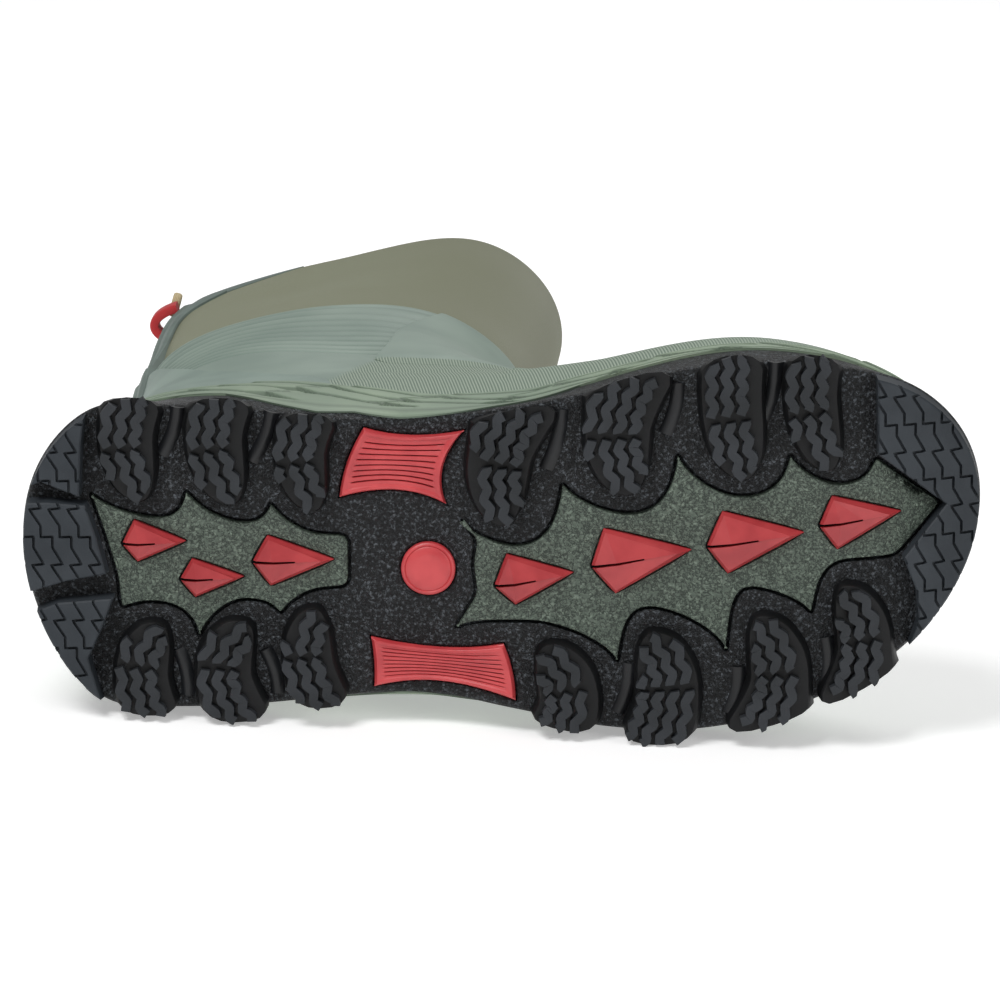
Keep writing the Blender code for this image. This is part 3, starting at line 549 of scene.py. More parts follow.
def smooth(x, knots, values):
    """Cubic through the knots, with slopes taken from their neighbours."""
    knots = np.asarray(knots, float)
    values = np.asarray(values, float)
    slopes = np.gradient(values, knots, axis=0)
    i, place, width = span(np.asarray(x, float), knots)
    if values.ndim > 1:
        place = place[..., None]
        width = width[..., None]
    return cubic(place, width, values[i], values[i + 1], slopes[i], slopes[i + 1])


def ease(x, low, high):
    """Soft step from 0 at low to 1 at high."""
    t = np.clip((np.asarray(x, float) - low) / (high - low), 0, 1)
    return t * t * (3 - 2 * t)


def toe_swing(s):
    return TOE_SWING * np.clip((s - TOE_SWING_START) / (LENGTH - TOE_SWING_START), 0, None) ** 1.2


def heel_swing(s):
    return HEEL_SWING * np.clip(1 - s / HEEL_SWING_END, 0, None) ** 2


def spring_lift(s):
    return TOE_SPRING * np.clip((s - SPRING_START) / (LENGTH - SPRING_START), 0, None) ** 2


def arch_lift(s):
    place = np.clip((s - ARCH_START) / (ARCH_END - ARCH_START), 0, 1)
    return ARCH_RISE * np.sin(math.pi * place) ** 2


def bent(points):
    """Flat points of the sole with the arch and the toe spring put in."""
    points = np.array(points, float)
    share = np.clip((ARCH_FADE_HEIGHT - points[..., 2]) / (ARCH_FADE_HEIGHT - LUG_DEPTH), 0, 1)
    points[..., 2] += spring_lift(points[..., 0]) + arch_lift(points[..., 0]) * share
    return points


def sole_edge(u, inset=0.0):
    """Outline of the sole's face; u is 0 at the toe, pi at the heel, and below pi on the inner side."""
    def edge(angle):
        t = (1 + np.cos(angle)) / 2
        s = LENGTH * t
        places = [0.0] + [w.s / LENGTH for w in SOLE_WIDTHS] + [1.0]
        fullness = [math.sqrt(HEEL_END_ROUND * LENGTH / 2)]
        for w in SOLE_WIDTHS:
            share = w.s / LENGTH
            fullness.append(w.half / math.sqrt(4 * share * (1 - share)))
        fullness.append(math.sqrt(TOE_END_ROUND * LENGTH / 2))
        m = toe_swing(s) + heel_swing(s) + np.sin(angle) * smooth(t, places, fullness)
        return np.stack([s, m], axis=-1)
    step = 1e-3
    along = edge(u + step) - edge(u - step)
    along /= np.linalg.norm(along, axis=-1, keepdims=True)
    inward = np.stack([-along[..., 1], along[..., 0]], axis=-1)
    return edge(u) + np.asarray(inset, float)[..., None] * inward


def skin(u, v):
    """The upper's outer surface before toe spring; v counts the sections from the sole up."""
    ring = Ring(*np.moveaxis(smooth(v, np.arange(len(RINGS)), np.array(RINGS, float)), -1, 0))
    length = ring.front_s - ring.back_s
    t = (1 + np.cos(u)) / 2
    s = ring.back_s + t * length
    back = np.sqrt(ring.back_round * length / 2)
    front = np.sqrt(ring.front_round * length / 2)
    fullness = (back, ring.heel / SIDE_SINE, ring.mid, ring.ball / SIDE_SINE, front)
    stacked = np.stack(np.broadcast_arrays(*fullness), axis=0)
    knots = np.array(SECTION_PLACES)
    slopes = np.gradient(stacked, knots, axis=0)
    i, place, width = span(t, knots)
    picked = [np.take_along_axis(table, i[None] + k, 0)[0] for table in (stacked, slopes) for k in (0, 1)]
    m = toe_swing(s) + ring.sag * t + np.sin(u) * cubic(place, width, *picked)
    h = ring.back_h + t * (ring.front_h - ring.back_h)
    return np.stack([s, m, h], axis=-1)


def flat_skin(u, v, offset):
    u, v, offset = np.broadcast_arrays(*(np.asarray(given, float) for given in (u, v, offset)))
    step = 1e-3
    around = skin(u + step, v) - skin(u - step, v)
    up = skin(u, v + step) - skin(u, v - step)
    out = np.cross(around, up)
    out /= np.linalg.norm(out, axis=-1, keepdims=True)
    return skin(u, v) + offset[..., None] * out


def on_skin(u, v, offset):
    """Points on the upper, moved outwards by an offset, with the toe spring put in."""
    points = flat_skin(u, v, offset)
    fade = 1 - ease(np.broadcast_to(v, points.shape[:-1]), TOE_BOX_TOP, TOE_BOX_TOP + SPRING_FADE)
    points[..., 2] += spring_lift(points[..., 0]) * fade
    return points


def border_level(s):
    """Border between the black sole and the foxing, counted in sections."""
    stations, feet, _ = np.array(FOXING_BAND).T
    return smooth(s, stations, feet)


def foxing_top(s):
    stations, _, tops = np.array(FOXING_BAND).T
    return smooth(s, stations, tops)


def turn(count):
    return np.arange(count) * 2 * math.pi / count


def level(outline, h):
    outline = np.asarray(outline, float)
    return np.column_stack([outline, np.full(len(outline), h)])


def grown(outline, by):
    """Outline moved outwards, with sharp corners mitred up to a limit."""
    outline = np.asarray(outline, float)
    following = np.roll(outline, -1, axis=0)
    way = np.sum(outline[:, 0] * following[:, 1] - following[:, 0] * outline[:, 1])
    along = following - outline
    along /= np.linalg.norm(along, axis=1, keepdims=True)
    out = math.copysign(1, way) * np.column_stack([along[:, 1], -along[:, 0]])
    both = out + np.roll(out, 1, axis=0)
    reach = np.sum(both * both, axis=1, keepdims=True) / 2
    return outline + by * both / np.maximum(reach, MITRE_LIMIT)


def bezier(a, b, c, d, steps):
    t = (np.arange(steps) / steps)[:, None]
    a, b, c, d = (np.asarray(p, float) for p in (a, b, c, d))
    return a * (1 - t) ** 3 + 3 * b * t * (1 - t) ** 2 + 3 * c * t * t * (1 - t) + d * t ** 3


def scalloped_edge(start, scallops, corner_first):
    """Panel edge past each lug: a slow shoulder and a tight corner on either side of the crown."""
    points = []
    here = np.array(start, float)
    for row in scallops:
        crown, cusp = np.array(row, float).reshape(2, 2)
        shoulders = (SLOW_SHOULDER, TIGHT_SHOULDER)
        if corner_first:
            shoulders = shoulders[::-1]
        before = (crown[0] - here[0]) * np.array([shoulders[0], 0])
        after = (cusp[0] - crown[0]) * np.array([shoulders[1], 0])
        leave = here + np.array(CUSP_LEAVE) * (crown - here)
        arrive = cusp + np.array(CUSP_ARRIVE) * (crown - cusp)
        points.append(bezier(here, leave, crown - before, crown, SCALLOP_POINTS))
        points.append(bezier(crown, crown + after, arrive, cusp, SCALLOP_POINTS))
        here = cusp
    return np.concatenate(points + [here[None]])


def heel_panel_outline():
    back = np.array(HEEL_PANEL_BACK, float)
    inner = scalloped_edge(back[-1], HEEL_INNER_EDGE, False)
    outer = scalloped_edge(back[0], HEEL_OUTER_EDGE, False)
    return np.concatenate([inner, outer[::-1], back[1:-1]])


def forefoot_panel_outline():
    back = np.array(FOREFOOT_PANEL_BACK, float)
    inner = scalloped_edge(back[-1], FOREFOOT_INNER_EDGE, False)
    outer = scalloped_edge(back[0], FOREFOOT_OUTER_EDGE, True)
    return np.concatenate([inner, [FOREFOOT_PANEL_TIP], outer[::-1], back[1:-1]])


def lug_axis(lug):
    """Outer end, control point and nose of a lug's curved axis."""
    outer, mid, nose = np.array(lug[:6], float).reshape(3, 2)
    return outer, 2 * mid - (outer + nose) / 2, nose


def along_axis(axis, place):
    """Point and direction at a place along a lug."""
    outer, control, nose = axis
    point = outer * (1 - place) ** 2 + 2 * control * place * (1 - place) + nose * place ** 2
    along = (control - outer) * (1 - place) + (nose - control) * place
    return point, along / np.linalg.norm(along)


def lug_outline(lug, widen, pull):
    """Tongue along a curved axis, from an end cut along the sole's edge to its round nose."""
    axis = lug_axis(lug)
    edge_angle = math.copysign(math.acos(2 * lug.outer_s / LENGTH - 1), lug.outer_m)
    edge = sole_edge(np.array(edge_angle + 0.01)) - sole_edge(np.array(edge_angle - 0.01))
    left, right = [], []
    for row in LUG_TAPER:
        point, along = along_axis(axis, row.place)
        across = np.array([along[1], -along[0]]) * (lug.width / 2 * row.share + widen)
        slide = 0.0
        if row.place == 0:
            slide = (across[0] * edge[1] - across[1] * edge[0]) / (along[0] * edge[1] - along[1] * edge[0])
        left.append(point + across - along * slide)
        right.append(point - across + along * slide)
    for side in (left, right):
        side[0] = side[0] + (side[1] - side[0]) * pull
    nose, along = along_axis(axis, 1.0)
    return np.array(left + [nose + along * widen] + right[::-1])


def rounded(outline, share=0.25):
    """Closed outline with its corners cut once, for a softer run."""
    outline = np.asarray(outline, float)
    following = np.roll(outline, -1, axis=0)
    first = outline + (following - outline) * share
    second = outline + (following - outline) * (1 - share)
    return np.stack([first, second], axis=1).reshape(-1, 2)


def softened(outline, spacing=0.9, rounds=9):
    """Closed outline with even points and its corners rounded."""
    outline = np.asarray(outline, float)
    closed = np.concatenate([outline, outline[:1]])
    reach = np.concatenate([[0], np.cumsum(np.linalg.norm(np.diff(closed, axis=0), axis=1))])
    places = np.arange(int(reach[-1] / spacing)) * spacing
    even = np.column_stack([np.interp(places, reach, closed[:, k]) for k in (0, 1)])
    for _ in range(rounds):
        even = even / 2 + (np.roll(even, 1, axis=0) + np.roll(even, -1, axis=0)) / 4
    return even


def edge_run(stretch):
    """Points along the sole's edge from one station to another, round the nearer end of the sole."""
    def angle(s, side):
        return side * math.acos(2 * s / LENGTH - 1)
    first = angle(stretch.start_s, stretch.start_side)
    last = angle(stretch.end_s, stretch.end_side)
    if stretch.start_side != stretch.end_side and stretch.start_s < LENGTH / 2:
        last += math.copysign(2 * math.pi, first)
    return sole_edge(np.linspace(first, last, stretch.points), PLATE_EDGE)


def plate_outlines():
    plates = (
        (TOE_PLATE_EDGE, TOE_PLATE),
        (INNER_PLATE_EDGE, INNER_PLATE),
        (MIDDLE_PLATE_EDGE, MIDDLE_PLATE),
        (OUTER_PLATE_EDGE, OUTER_PLATE),
    )
    return [np.concatenate([edge_run(edge), corners]) for edge, corners in plates]


def inside(points, loop):
    """Which points lie within a closed outline."""
    x, y = np.asarray(points, float).T[:, :, None]
    here = np.asarray(loop, float)
    there = np.roll(here, -1, axis=0)
    spans = (here[:, 1] > y) != (there[:, 1] > y)
    rise = there[:, 1] - here[:, 1]
    rise = np.where(np.abs(rise) < 1e-9, 1e-9, rise)
    cross = here[:, 0] + (there[:, 0] - here[:, 0]) * (y - here[:, 1]) / rise
    return (spans & (x < cross)).sum(axis=1) % 2 == 1


def tiled(loop, holes=(), spacing=4.0):
    """Even triangles over an outline less its holes: points and faces."""
    loops = [np.asarray(one, float) for one in (loop, *holes)]
    edges = []
    first = 0
    for one in loops:
        edges += [(first + i, first + (i + 1) % len(one)) for i in range(len(one))]
        first += len(one)
    rim = np.concatenate(loops)
    low = loops[0].min(axis=0)
    high = loops[0].max(axis=0)
    lines = [np.arange(a, b, spacing) for a, b in zip(low, high)]
    spots = np.stack(np.meshgrid(*lines), axis=-1).reshape(-1, 2)
    spots = spots[inside(spots, loops[0])]
    for hole in loops[1:]:
        spots = spots[~inside(spots, hole)]
    away = np.linalg.norm(spots[:, None] - rim[None], axis=2).min(axis=1) if len(spots) else np.zeros(0)
    spots = np.concatenate([rim, spots[away > spacing * 0.45]])
    points, _, faces, *_ = delaunay_2d_cdt([Vector(p) for p in spots], edges, [], 0, 1e-6)
    points = np.array([p[:] for p in points])
    middles = np.array([points[list(face)].mean(axis=0) for face in faces])
    kept = inside(middles, loops[0])
    for hole in loops[1:]:
        kept &= ~inside(middles, hole)
    return points, [tuple(face) for face, keep in zip(faces, kept) if keep]


def lying_turn():
    turned = Matrix.Rotation(math.radians(-TOE_UP_DEG), 3, "Y")
    return np.array(turned @ Matrix.Rotation(math.radians(-SHAFT_DOWN_DEG), 3, "X"))


LYING = lying_turn()


def laid(points):
    """Boot points (s, m, h) in millimetres as places in the row frame, in metres."""
    points = np.asarray(points, float).reshape(-1, 3)
    return (points[:, [0, 2, 1]] - np.array([ORIGIN_S, ORIGIN_H, ORIGIN_M])) @ LYING.T * MM


def grid_faces(rows, columns, closed, first=0):
    """Quads of a grid, closed across its columns where it runs around the boot."""
    faces = []
    for r in range(rows - 1):
        for c in range(columns if closed else columns - 1):
            right = (c + 1) % columns
            low = first + r * columns
            high = low + columns
            faces.append((low + c, low + right, high + right, high + c))
    return faces


class Form:
    """Points and faces of a piece in boot axes, gathered shape by shape."""

    def __init__(self):
        self.points = []
        self.faces = []
        self.tags = []

    def add(self, points, faces, tag=0.0):
        first = sum(len(p) for p in self.points)
        points = np.asarray(points, float).reshape(-1, 3)
        self.points.append(points)
        self.tags.append(np.broadcast_to(np.asarray(tag, float).reshape(-1), (len(points),)))
        self.faces += [tuple(first + i for i in face) for face in faces]

    def stack(self, rings, caps=True, tag=0.0):
        """Closed rings one above another; the ends are closed with a face each."""
        rings = np.array(rings, float)
        rows, columns = rings.shape[:2]
        faces = grid_faces(rows, columns, True)
        if caps:
            top = (rows - 1) * columns
            faces += [tuple(range(columns)), tuple(range(top, top + columns))]
        self.add(rings, faces, tag)

    def wall(self, rings, tag=0.0):
        """Closed rings one above another, open at both ends."""
        self.stack(rings, False, tag)

    def face(self, loop, h, holes=(), spacing=4.0, tag=0.0):
        """Flat tiled face at one height, bent with the sole."""
        points, faces = tiled(loop, holes, spacing)
        self.add(bent(level(points, h)), faces, tag)

    def loop(self, rings, tag=0.0):
        """Closed profile that runs round the boot."""
        rings = np.array(rings, float)
        rows, columns = rings.shape[:2]
        faces = grid_faces(rows, columns, True)
        base = (rows - 1) * columns
        for c in range(columns):
            right = (c + 1) % columns
            faces.append((base + c, base + right, right, c))
        self.add(rings, faces, tag)

    def patch(self, outer, inner, tag=0.0):
        """Sheet with an outer and an inner face, closed round its rim."""
        rows, columns = outer.shape[:2]
        below = rows * columns
        faces = grid_faces(rows, columns, False)
        faces += [tuple(below + i for i in face) for face in faces]
        rim = list(range(columns)) + [r * columns + columns - 1 for r in range(1, rows)]
        rim += [(rows - 1) * columns + c for c in range(columns - 2, -1, -1)]
        rim += [r * columns for r in range(rows - 2, 0, -1)]
        for a, b in zip(rim, rim[1:] + rim[:1]):
            faces.append((a, b, below + b, below + a))
        tags = np.concatenate([np.broadcast_to(tag, (rows, columns)).reshape(-1)] * 2)
        self.add(np.concatenate([outer.reshape(-1, 3), inner.reshape(-1, 3)]), faces, tags)

    def mesh(self, name):
        """Mesh in the row frame with its boot place and its tag kept as attributes."""
        points = np.concatenate(self.points)
        mesh = bpy.data.meshes.new(name)
        mesh.from_pydata(laid(points).tolist(), [], self.faces)
        place = mesh.attributes.new("place", "FLOAT_VECTOR", "POINT")
        place.data.foreach_set("vector", (points * MM).astype(np.float32).ravel())
        tag = mesh.attributes.new("tag", "FLOAT", "POINT")
        tag.data.foreach_set("value", np.concatenate(self.tags).astype(np.float32))
        return mesh


def piece(name, form, material, crease_deg):
    """Finished piece that rides on the boot's one body."""
    mesh = form.mesh(name)
    bm = bmesh.new()
    bm.from_mesh(mesh)
    bmesh.ops.remove_doubles(bm, verts=bm.verts, dist=WELD * MM)
    bmesh.ops.recalc_face_normals(bm, faces=bm.faces)
    bm.to_mesh(mesh)
    bm.free()
    mesh.materials.clear()
    mesh.materials.append(material)
    mesh.shade_smooth()
    mesh.set_sharp_from_angle(angle=math.radians(crease_deg))
    ob = bpy.data.objects.new(name, mesh)
    bpy.context.collection.objects.link(ob)
    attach(ob, "root")
    return ob


class Tone:
    """A shader value; arithmetic on it adds Math nodes."""

    def __init__(self, paint, socket):
        self.paint = paint
        self.socket = socket

    def math(self, operation, *values):
        node = self.paint.node("ShaderNodeMath", {"operation": operation}, dict(enumerate(values)))
        return Tone(self.paint, node.outputs[0])

    def __add__(self, other):
        return self.math("ADD", self, other)

    __radd__ = __add__

    def __sub__(self, other):
        return self.math("SUBTRACT", self, other)

    def __rsub__(self, other):
        return self.math("SUBTRACT", other, self)

    def __mul__(self, other):
        return self.math("MULTIPLY", self, other)

    __rmul__ = __mul__

    def wave(self, pitch):
        return self.math("SINE", self * (2 * math.pi / pitch))

    def absolute(self):
        return self.math("ABSOLUTE", self)

    def step(self, low, high):
        node = self.paint.node(
            "ShaderNodeMapRange", {"interpolation_type": "SMOOTHSTEP"},
            {"Value": self, "From Min": low, "From Max": high})
        return Tone(self.paint, node.outputs[0])


class Paint:
    """A material and the nodes that make it."""

    def __init__(self, name):
        self.material = bpy.data.materials.new(name)
        self.material.use_nodes = True
        self.tree = self.material.node_tree
        self.shader = self.tree.nodes["Principled BSDF"]

    def node(self, kind, settings=None, sockets=None):
        """Any node: its settings first, then the values or links of its sockets."""
        node = self.tree.nodes.new(kind)
        for key, value in (settings or {}).items():
            setattr(node, key, value)
        for key, value in (sockets or {}).items():
            self.feed(node.inputs[key], value)
        return node

    def feed(self, socket, value):
        if isinstance(value, Tone):
            self.tree.links.new(value.socket, socket)
        elif isinstance(value, bpy.types.NodeSocket):
            self.tree.links.new(value, socket)
        elif isinstance(value, (tuple, list)) and socket.type == "RGBA":
            socket.default_value = (*value[:3], 1.0)
        else:
            socket.default_value = value

    def place(self):
        """Boot place (s, m, h) of the surface, in metres."""
        return self.node("ShaderNodeAttribute", {"attribute_name": "place"}).outputs["Vector"]

    def parts(self, vector):
        split = self.node("ShaderNodeSeparateXYZ", None, {0: vector})
        return [Tone(self, output) for output in split.outputs]

    def tag(self):
        return Tone(self, self.node("ShaderNodeAttribute", {"attribute_name": "tag"}).outputs["Fac"])

    def noise(self, scale, detail=2.0, rough=0.5, vector=None):
        vector = vector or self.place()
        sockets = {"Vector": vector, "Scale": scale, "Detail": detail, "Roughness": rough}
        return Tone(self, self.node("ShaderNodeTexNoise", None, sockets).outputs[0])

    def mix(self, factor, first, second):
        node = self.node("ShaderNodeMix", {"data_type": "RGBA"}, {0: factor, 6: first, 7: second})
        return node.outputs[2]

    def bump(self, height, depth, strength=1.0):
        sockets = {"Strength": strength, "Distance": depth * MM, "Height": height}
        node = self.node("ShaderNodeBump", None, sockets)
        self.feed(self.shader.inputs["Normal"], node.outputs[0])

    def finish(self, colour, roughness, **constants):
        self.feed(self.shader.inputs["Base Color"], colour)
        self.feed(self.shader.inputs["Roughness"], roughness)
        for key, value in constants.items():
            self.shader.inputs[key.replace("_", " ")].default_value = value
        return self.material


def srgb(r, g, b):
    """Colour as a screen shows it, 0 to 255, made linear."""
    channels = []
    for value in (r, g, b):
        value /= 255
        channels.append(value / 12.92 if value <= 0.04045 else ((value + 0.055) / 1.055) ** 2.4)
    return tuple(channels)


def pebbled(name, dark, middle, light, depth, roughness, shine):
    """Rubber with the crinkled grain of a sand-blasted mould: folds with painted glints, and painted shade
    in the creases.
    """
    paint = Paint(name)
    wander = paint.noise(420, 2)
    fold = (paint.noise(FOLD_GRAIN, 3, 0.55) - 0.5).absolute()
    # body is 0 in the creases, where the dark colour is painted shade, and 1 on the folds
    body = fold.step(0.0, 0.09)
    # painted highlight: the light colour on some folds stands in for glints
    painted_glint = paint.noise(PAINTED_GLINT_GRAIN, 3).step(0.45, 0.75)
    paint.bump(fold * 3.0 + paint.noise(PORE_GRAIN, 2) * 0.25, depth, 0.9)
    colour = paint.mix(body, dark, middle)
    colour = paint.mix(body * painted_glint, colour, light)
    return paint.finish(colour, roughness + 0.15 * wander, Specular_IOR_Level=shine)


def plain_rubber(name, dark, light, roughness, depth=0.03, shine=0.5):
    """Smooth moulded rubber with faint mottling and a fine tooth."""
    paint = Paint(name)
    mottle = paint.noise(45, 3, 0.55)
    tooth = paint.noise(TOOTH_GRAIN, 2)
    paint.bump(tooth, depth, 0.7)
    colour = paint.mix(mottle.step(0.3, 0.7), dark, light)
    return paint.finish(colour, roughness + 0.12 * mottle, Specular_IOR_Level=shine)


def red_rubber(name, dark, light):
    paint = Paint(name)
    mottle = paint.noise(90, 3)
    tooth = paint.noise(1300, 2)
    groove = paint.tag()
    paint.bump(tooth, 0.03, 0.7)
    colour = paint.mix(mottle.step(0.3, 0.7), dark, light)
    # painted shade: a darker red in the grooves of the waist inserts, from the tag
    colour = paint.mix(groove, colour, srgb(86, 22, 28))
    return paint.finish(colour, 0.36 + 0.1 * mottle, Coat_Weight=0.15, Coat_Roughness=0.3)


def foot_rubber(name):
    """Upper: hatched textile over the foot, plain rubber at the heel and round the ankle, with painted
    shade in the grooves between the ankle's ribs.
    """
    paint = Paint(name)
    s, m, h = paint.parts(paint.place())
    mark = paint.tag()
    cloth = mark.math("MAXIMUM", mark, 0.0)
    groove = mark.math("MAXIMUM", 0.0 - mark, 0.0)
    wander = paint.noise(30, 2)
    hatch = (s + 0.12 * h + wander * 0.0006).wave(HATCH_PITCH)
    cross = (h + 0.25 * m).wave(HATCH_CROSS_PITCH)
    tooth = paint.noise(1400, 2)
    toe = s.step(0.2, 0.28)
    thread = (hatch * 0.5 + cross * 0.22) * (1 - toe) + (tooth - 0.5) * toe + 0.5
    mottle = paint.noise(24, 3)
    paint.bump(cloth * thread + (1 - cloth) * tooth * 0.25, 0.16, 0.8)
    plain = paint.mix(mottle.step(0.3, 0.7), srgb(118, 135, 125), srgb(134, 150, 139))
    woven = paint.mix(thread.step(0.15, 0.85), srgb(98, 115, 102), srgb(150, 163, 147))
    colour = paint.mix(cloth, plain, woven)
    # painted shade: a darker green in the rib grooves, from negative tags
    colour = paint.mix(groove, colour, srgb(92, 106, 98))
    return paint.finish(colour, 0.52 + 0.2 * cloth)


def shaft_cloth(name):
    """Olive woven cloth outside, dark knitted lining inside."""
    paint = Paint(name)
    s, m, h = paint.parts(paint.place())
    lined = paint.tag()
    wander = paint.noise(40, 2)
    twill = (s + h * 0.8 + wander * 0.0008).wave(TWILL_PITCH)
    weft = (h - s * 0.25).wave(WEFT_PITCH)
    weave = twill * 0.35 + weft * 0.2 + paint.noise(900, 3) * 0.5 + 0.25
    mottle = paint.noise(18, 4, 0.6)
    paint.bump(weave, 0.13, 0.7)
    outer = paint.mix(weave.step(0.1, 0.9), srgb(102, 106, 80), srgb(126, 130, 102))
    outer = paint.mix(mottle.step(0.25, 0.75) * 0.35, outer, srgb(108, 110, 82))
    outer = paint.mix(s.step(0.07, 0.17) * 0.6, outer, srgb(94, 96, 70))
    lining = paint.mix(weave.step(0.1, 0.9), srgb(38, 40, 38), srgb(62, 64, 60))
    colour = paint.mix(lined, outer, lining)
    return paint.finish(colour, 0.82 - 0.06 * weave, Sheen_Weight=0.12, Sheen_Roughness=0.5)


def leaf_rubber(name):
    """Foxing: satin green with painted shade in the lines where one leaf laps the next, and at the band's
    dipped edge.
    """
    paint = Paint(name)
    line = paint.tag()
    s, m, h = paint.parts(paint.place())
    grain = paint.noise(600, 3, 0.6)
    streak = (h + s * 0.12).wave(STREAK_PITCH)
    mottle = paint.noise(30, 3)
    paint.bump(grain * 0.6 + streak * 0.12, 0.12, 0.7)
    colour = paint.mix(mottle.step(0.3, 0.7), srgb(118, 135, 116), srgb(138, 154, 132))
    # painted shade: a darker green in the lap lines and on the dipped rows
    colour = paint.mix(line, colour, srgb(62, 76, 64))
    return paint.finish(colour, 0.5 + 0.12 * mottle)


def webbing(name, dark, light):
    paint = Paint(name)
    s, m, h = paint.parts(paint.place())
    ribs = h.wave(WEBBING_RIB_PITCH)
    picks = (m + s).wave(WEBBING_PICK_PITCH)
    weave = ribs * picks * 0.5 + 0.5
    paint.bump(weave, 0.15, 0.8)
    colour = paint.mix(weave, dark, light)
    return paint.finish(colour, 0.7 + 0.1 * weave, Sheen_Weight=0.1)


def floor_paint(name):
    paint = Paint(name)
    grain = paint.noise(3.0, 2, 0.5, paint.node("ShaderNodeTexCoord").outputs["Object"])
    colour = paint.mix(grain, (0.86, 0.86, 0.86), (0.88, 0.88, 0.88))
    return paint.finish(colour, 0.9, Emission_Color=(1.0, 1.0, 1.0, 1.0), Emission_Strength=FLOOR_GLOW)


def make_tree(name, inputs):
    """Empty geometry tree with named inputs, and its input and output nodes."""
    tree = bpy.data.node_groups.new(name, "GeometryNodeTree")
    tree.interface.new_socket("Geometry", in_out="OUTPUT", socket_type="NodeSocketGeometry")
    tree.interface.new_socket("Paths", in_out="INPUT", socket_type="NodeSocketGeometry")
    for label, value in inputs.items():
        kind = "NodeSocketMaterial" if value is None else "NodeSocketFloat"
        socket = tree.interface.new_socket(label, in_out="INPUT", socket_type=kind)
        if value is not None:
            socket.default_value = value
    return tree, tree.nodes.new("NodeGroupInput"), tree.nodes.new("NodeGroupOutput")


def strip_tree():
    """Bars that follow paths on the sole, swung from side to side along their length."""
    tree, given, result = make_tree("zigzag_bars", {
        "Zigzag": 7.0, "Swing": 1.0, "Step": 0.6, "Top": 3.6, "Foot": 4.4, "Height": 2.0, "Rubber": None})

    def add(kind, settings, sockets):
        node = tree.nodes.new(kind)
        for key, value in settings.items():
            setattr(node, key, value)
        for key, value in sockets.items():
            if isinstance(value, bpy.types.NodeSocket):
                tree.links.new(value, node.inputs[key])
            else:
                node.inputs[key].default_value = value
        return node.outputs[0]

    def maths(operation, first, second):
        return add("ShaderNodeMath", {"operation": operation}, {0: first, 1: second})

    tread_up = (0.0, -1.0, 0.0)
    size = given.outputs
    curve = add("GeometryNodeMeshToCurve", {}, {"Mesh": size["Paths"]})
    even = add("GeometryNodeResampleCurve", {"mode": "LENGTH"}, {"Curve": curve, "Length": size["Step"]})
    stepped = maths("GREATER_THAN", size["Step"], 0.01)
    choice = {"Switch": stepped, "False": curve, "True": even}
    curve = add("GeometryNodeSwitch", {"input_type": "GEOMETRY"}, choice)
    reach_along = add("GeometryNodeInputNamedAttribute", {"data_type": "FLOAT"}, {"Name": "reach"})
    tangent = tree.nodes.new("GeometryNodeInputTangent")
    side = add("ShaderNodeVectorMath", {"operation": "CROSS_PRODUCT"}, {0: tangent.outputs[0], 1: tread_up})
    turns = maths("DIVIDE", reach_along, size["Zigzag"])
    wave = maths("PINGPONG", maths("MULTIPLY", turns, 2.0), 1.0)
    swing = maths("MULTIPLY", maths("SUBTRACT", wave, 0.5), 2.0)
    reach = maths("MULTIPLY", swing, size["Swing"])
    move = add("ShaderNodeVectorMath", {"operation": "SCALE"}, {0: side, "Scale": reach})
    curve = add("GeometryNodeSetPosition", {}, {"Geometry": curve, "Offset": move})
    curve = add("GeometryNodeSetCurveNormal", {"mode": "FREE"}, {"Curve": curve, "Normal": tread_up})
    profile = add("GeometryNodeCurvePrimitiveQuadrilateral", {"mode": "TRAPEZOID"}, {
        "Height": size["Height"], "Bottom Width": size["Foot"], "Top Width": size["Top"], "Offset": 0.0})
    profile = add("GeometryNodeTransform", {}, {"Geometry": profile, "Rotation": (0.0, 0.0, -math.pi / 2)})
    bars = add("GeometryNodeCurveToMesh", {}, {"Curve": curve, "Profile Curve": profile, "Fill Caps": True})
    bars = add("GeometryNodeRealizeInstances", {}, {"Geometry": bars})
    bars = add("GeometryNodeSetMaterial", {}, {"Geometry": bars, "Material": size["Rubber"]})
    tree.links.new(bars, result.inputs[0])
    return tree


def bars_along(tree, paths, h, sizes, material):
    """Run the bar tree over paths at one height; gives back the bars' points (s, m, h) and faces."""
    mesh = bpy.data.meshes.new("paths")
    points, edges = [], []
    for path in paths:
        first = len(points)
        points += [(p[0], h, p[1]) for p in path]
        edges += [(first + i, first + i + 1) for i in range(len(path) - 1)]
    mesh.from_pydata(points, edges, [])
    reach = mesh.attributes.new("reach", "FLOAT", "POINT")
    reach.data.foreach_set("value", [p[2] for path in paths for p in path])
    ob = bpy.data.objects.new("paths", mesh)
    bpy.context.collection.objects.link(ob)
    modifier = ob.modifiers.new("bars", "NODES")
    modifier.node_group = tree
    for item in tree.interface.items_tree:
        if item.in_out == "INPUT" and item.name in sizes:
            modifier[item.identifier] = sizes[item.name]
        if item.in_out == "INPUT" and item.name == "Rubber":
            modifier[item.identifier] = material
    made = bpy.data.meshes.new_from_object(ob.evaluated_get(bpy.context.evaluated_depsgraph_get()))
    ob.modifiers.remove(modifier)
    bpy.data.objects.remove(ob)
    spots = np.array([v.co[:] for v in made.vertices])[:, [0, 2, 1]]
    faces = [tuple(p.vertices) for p in made.polygons]
    bpy.data.meshes.remove(made)
    return spots, faces


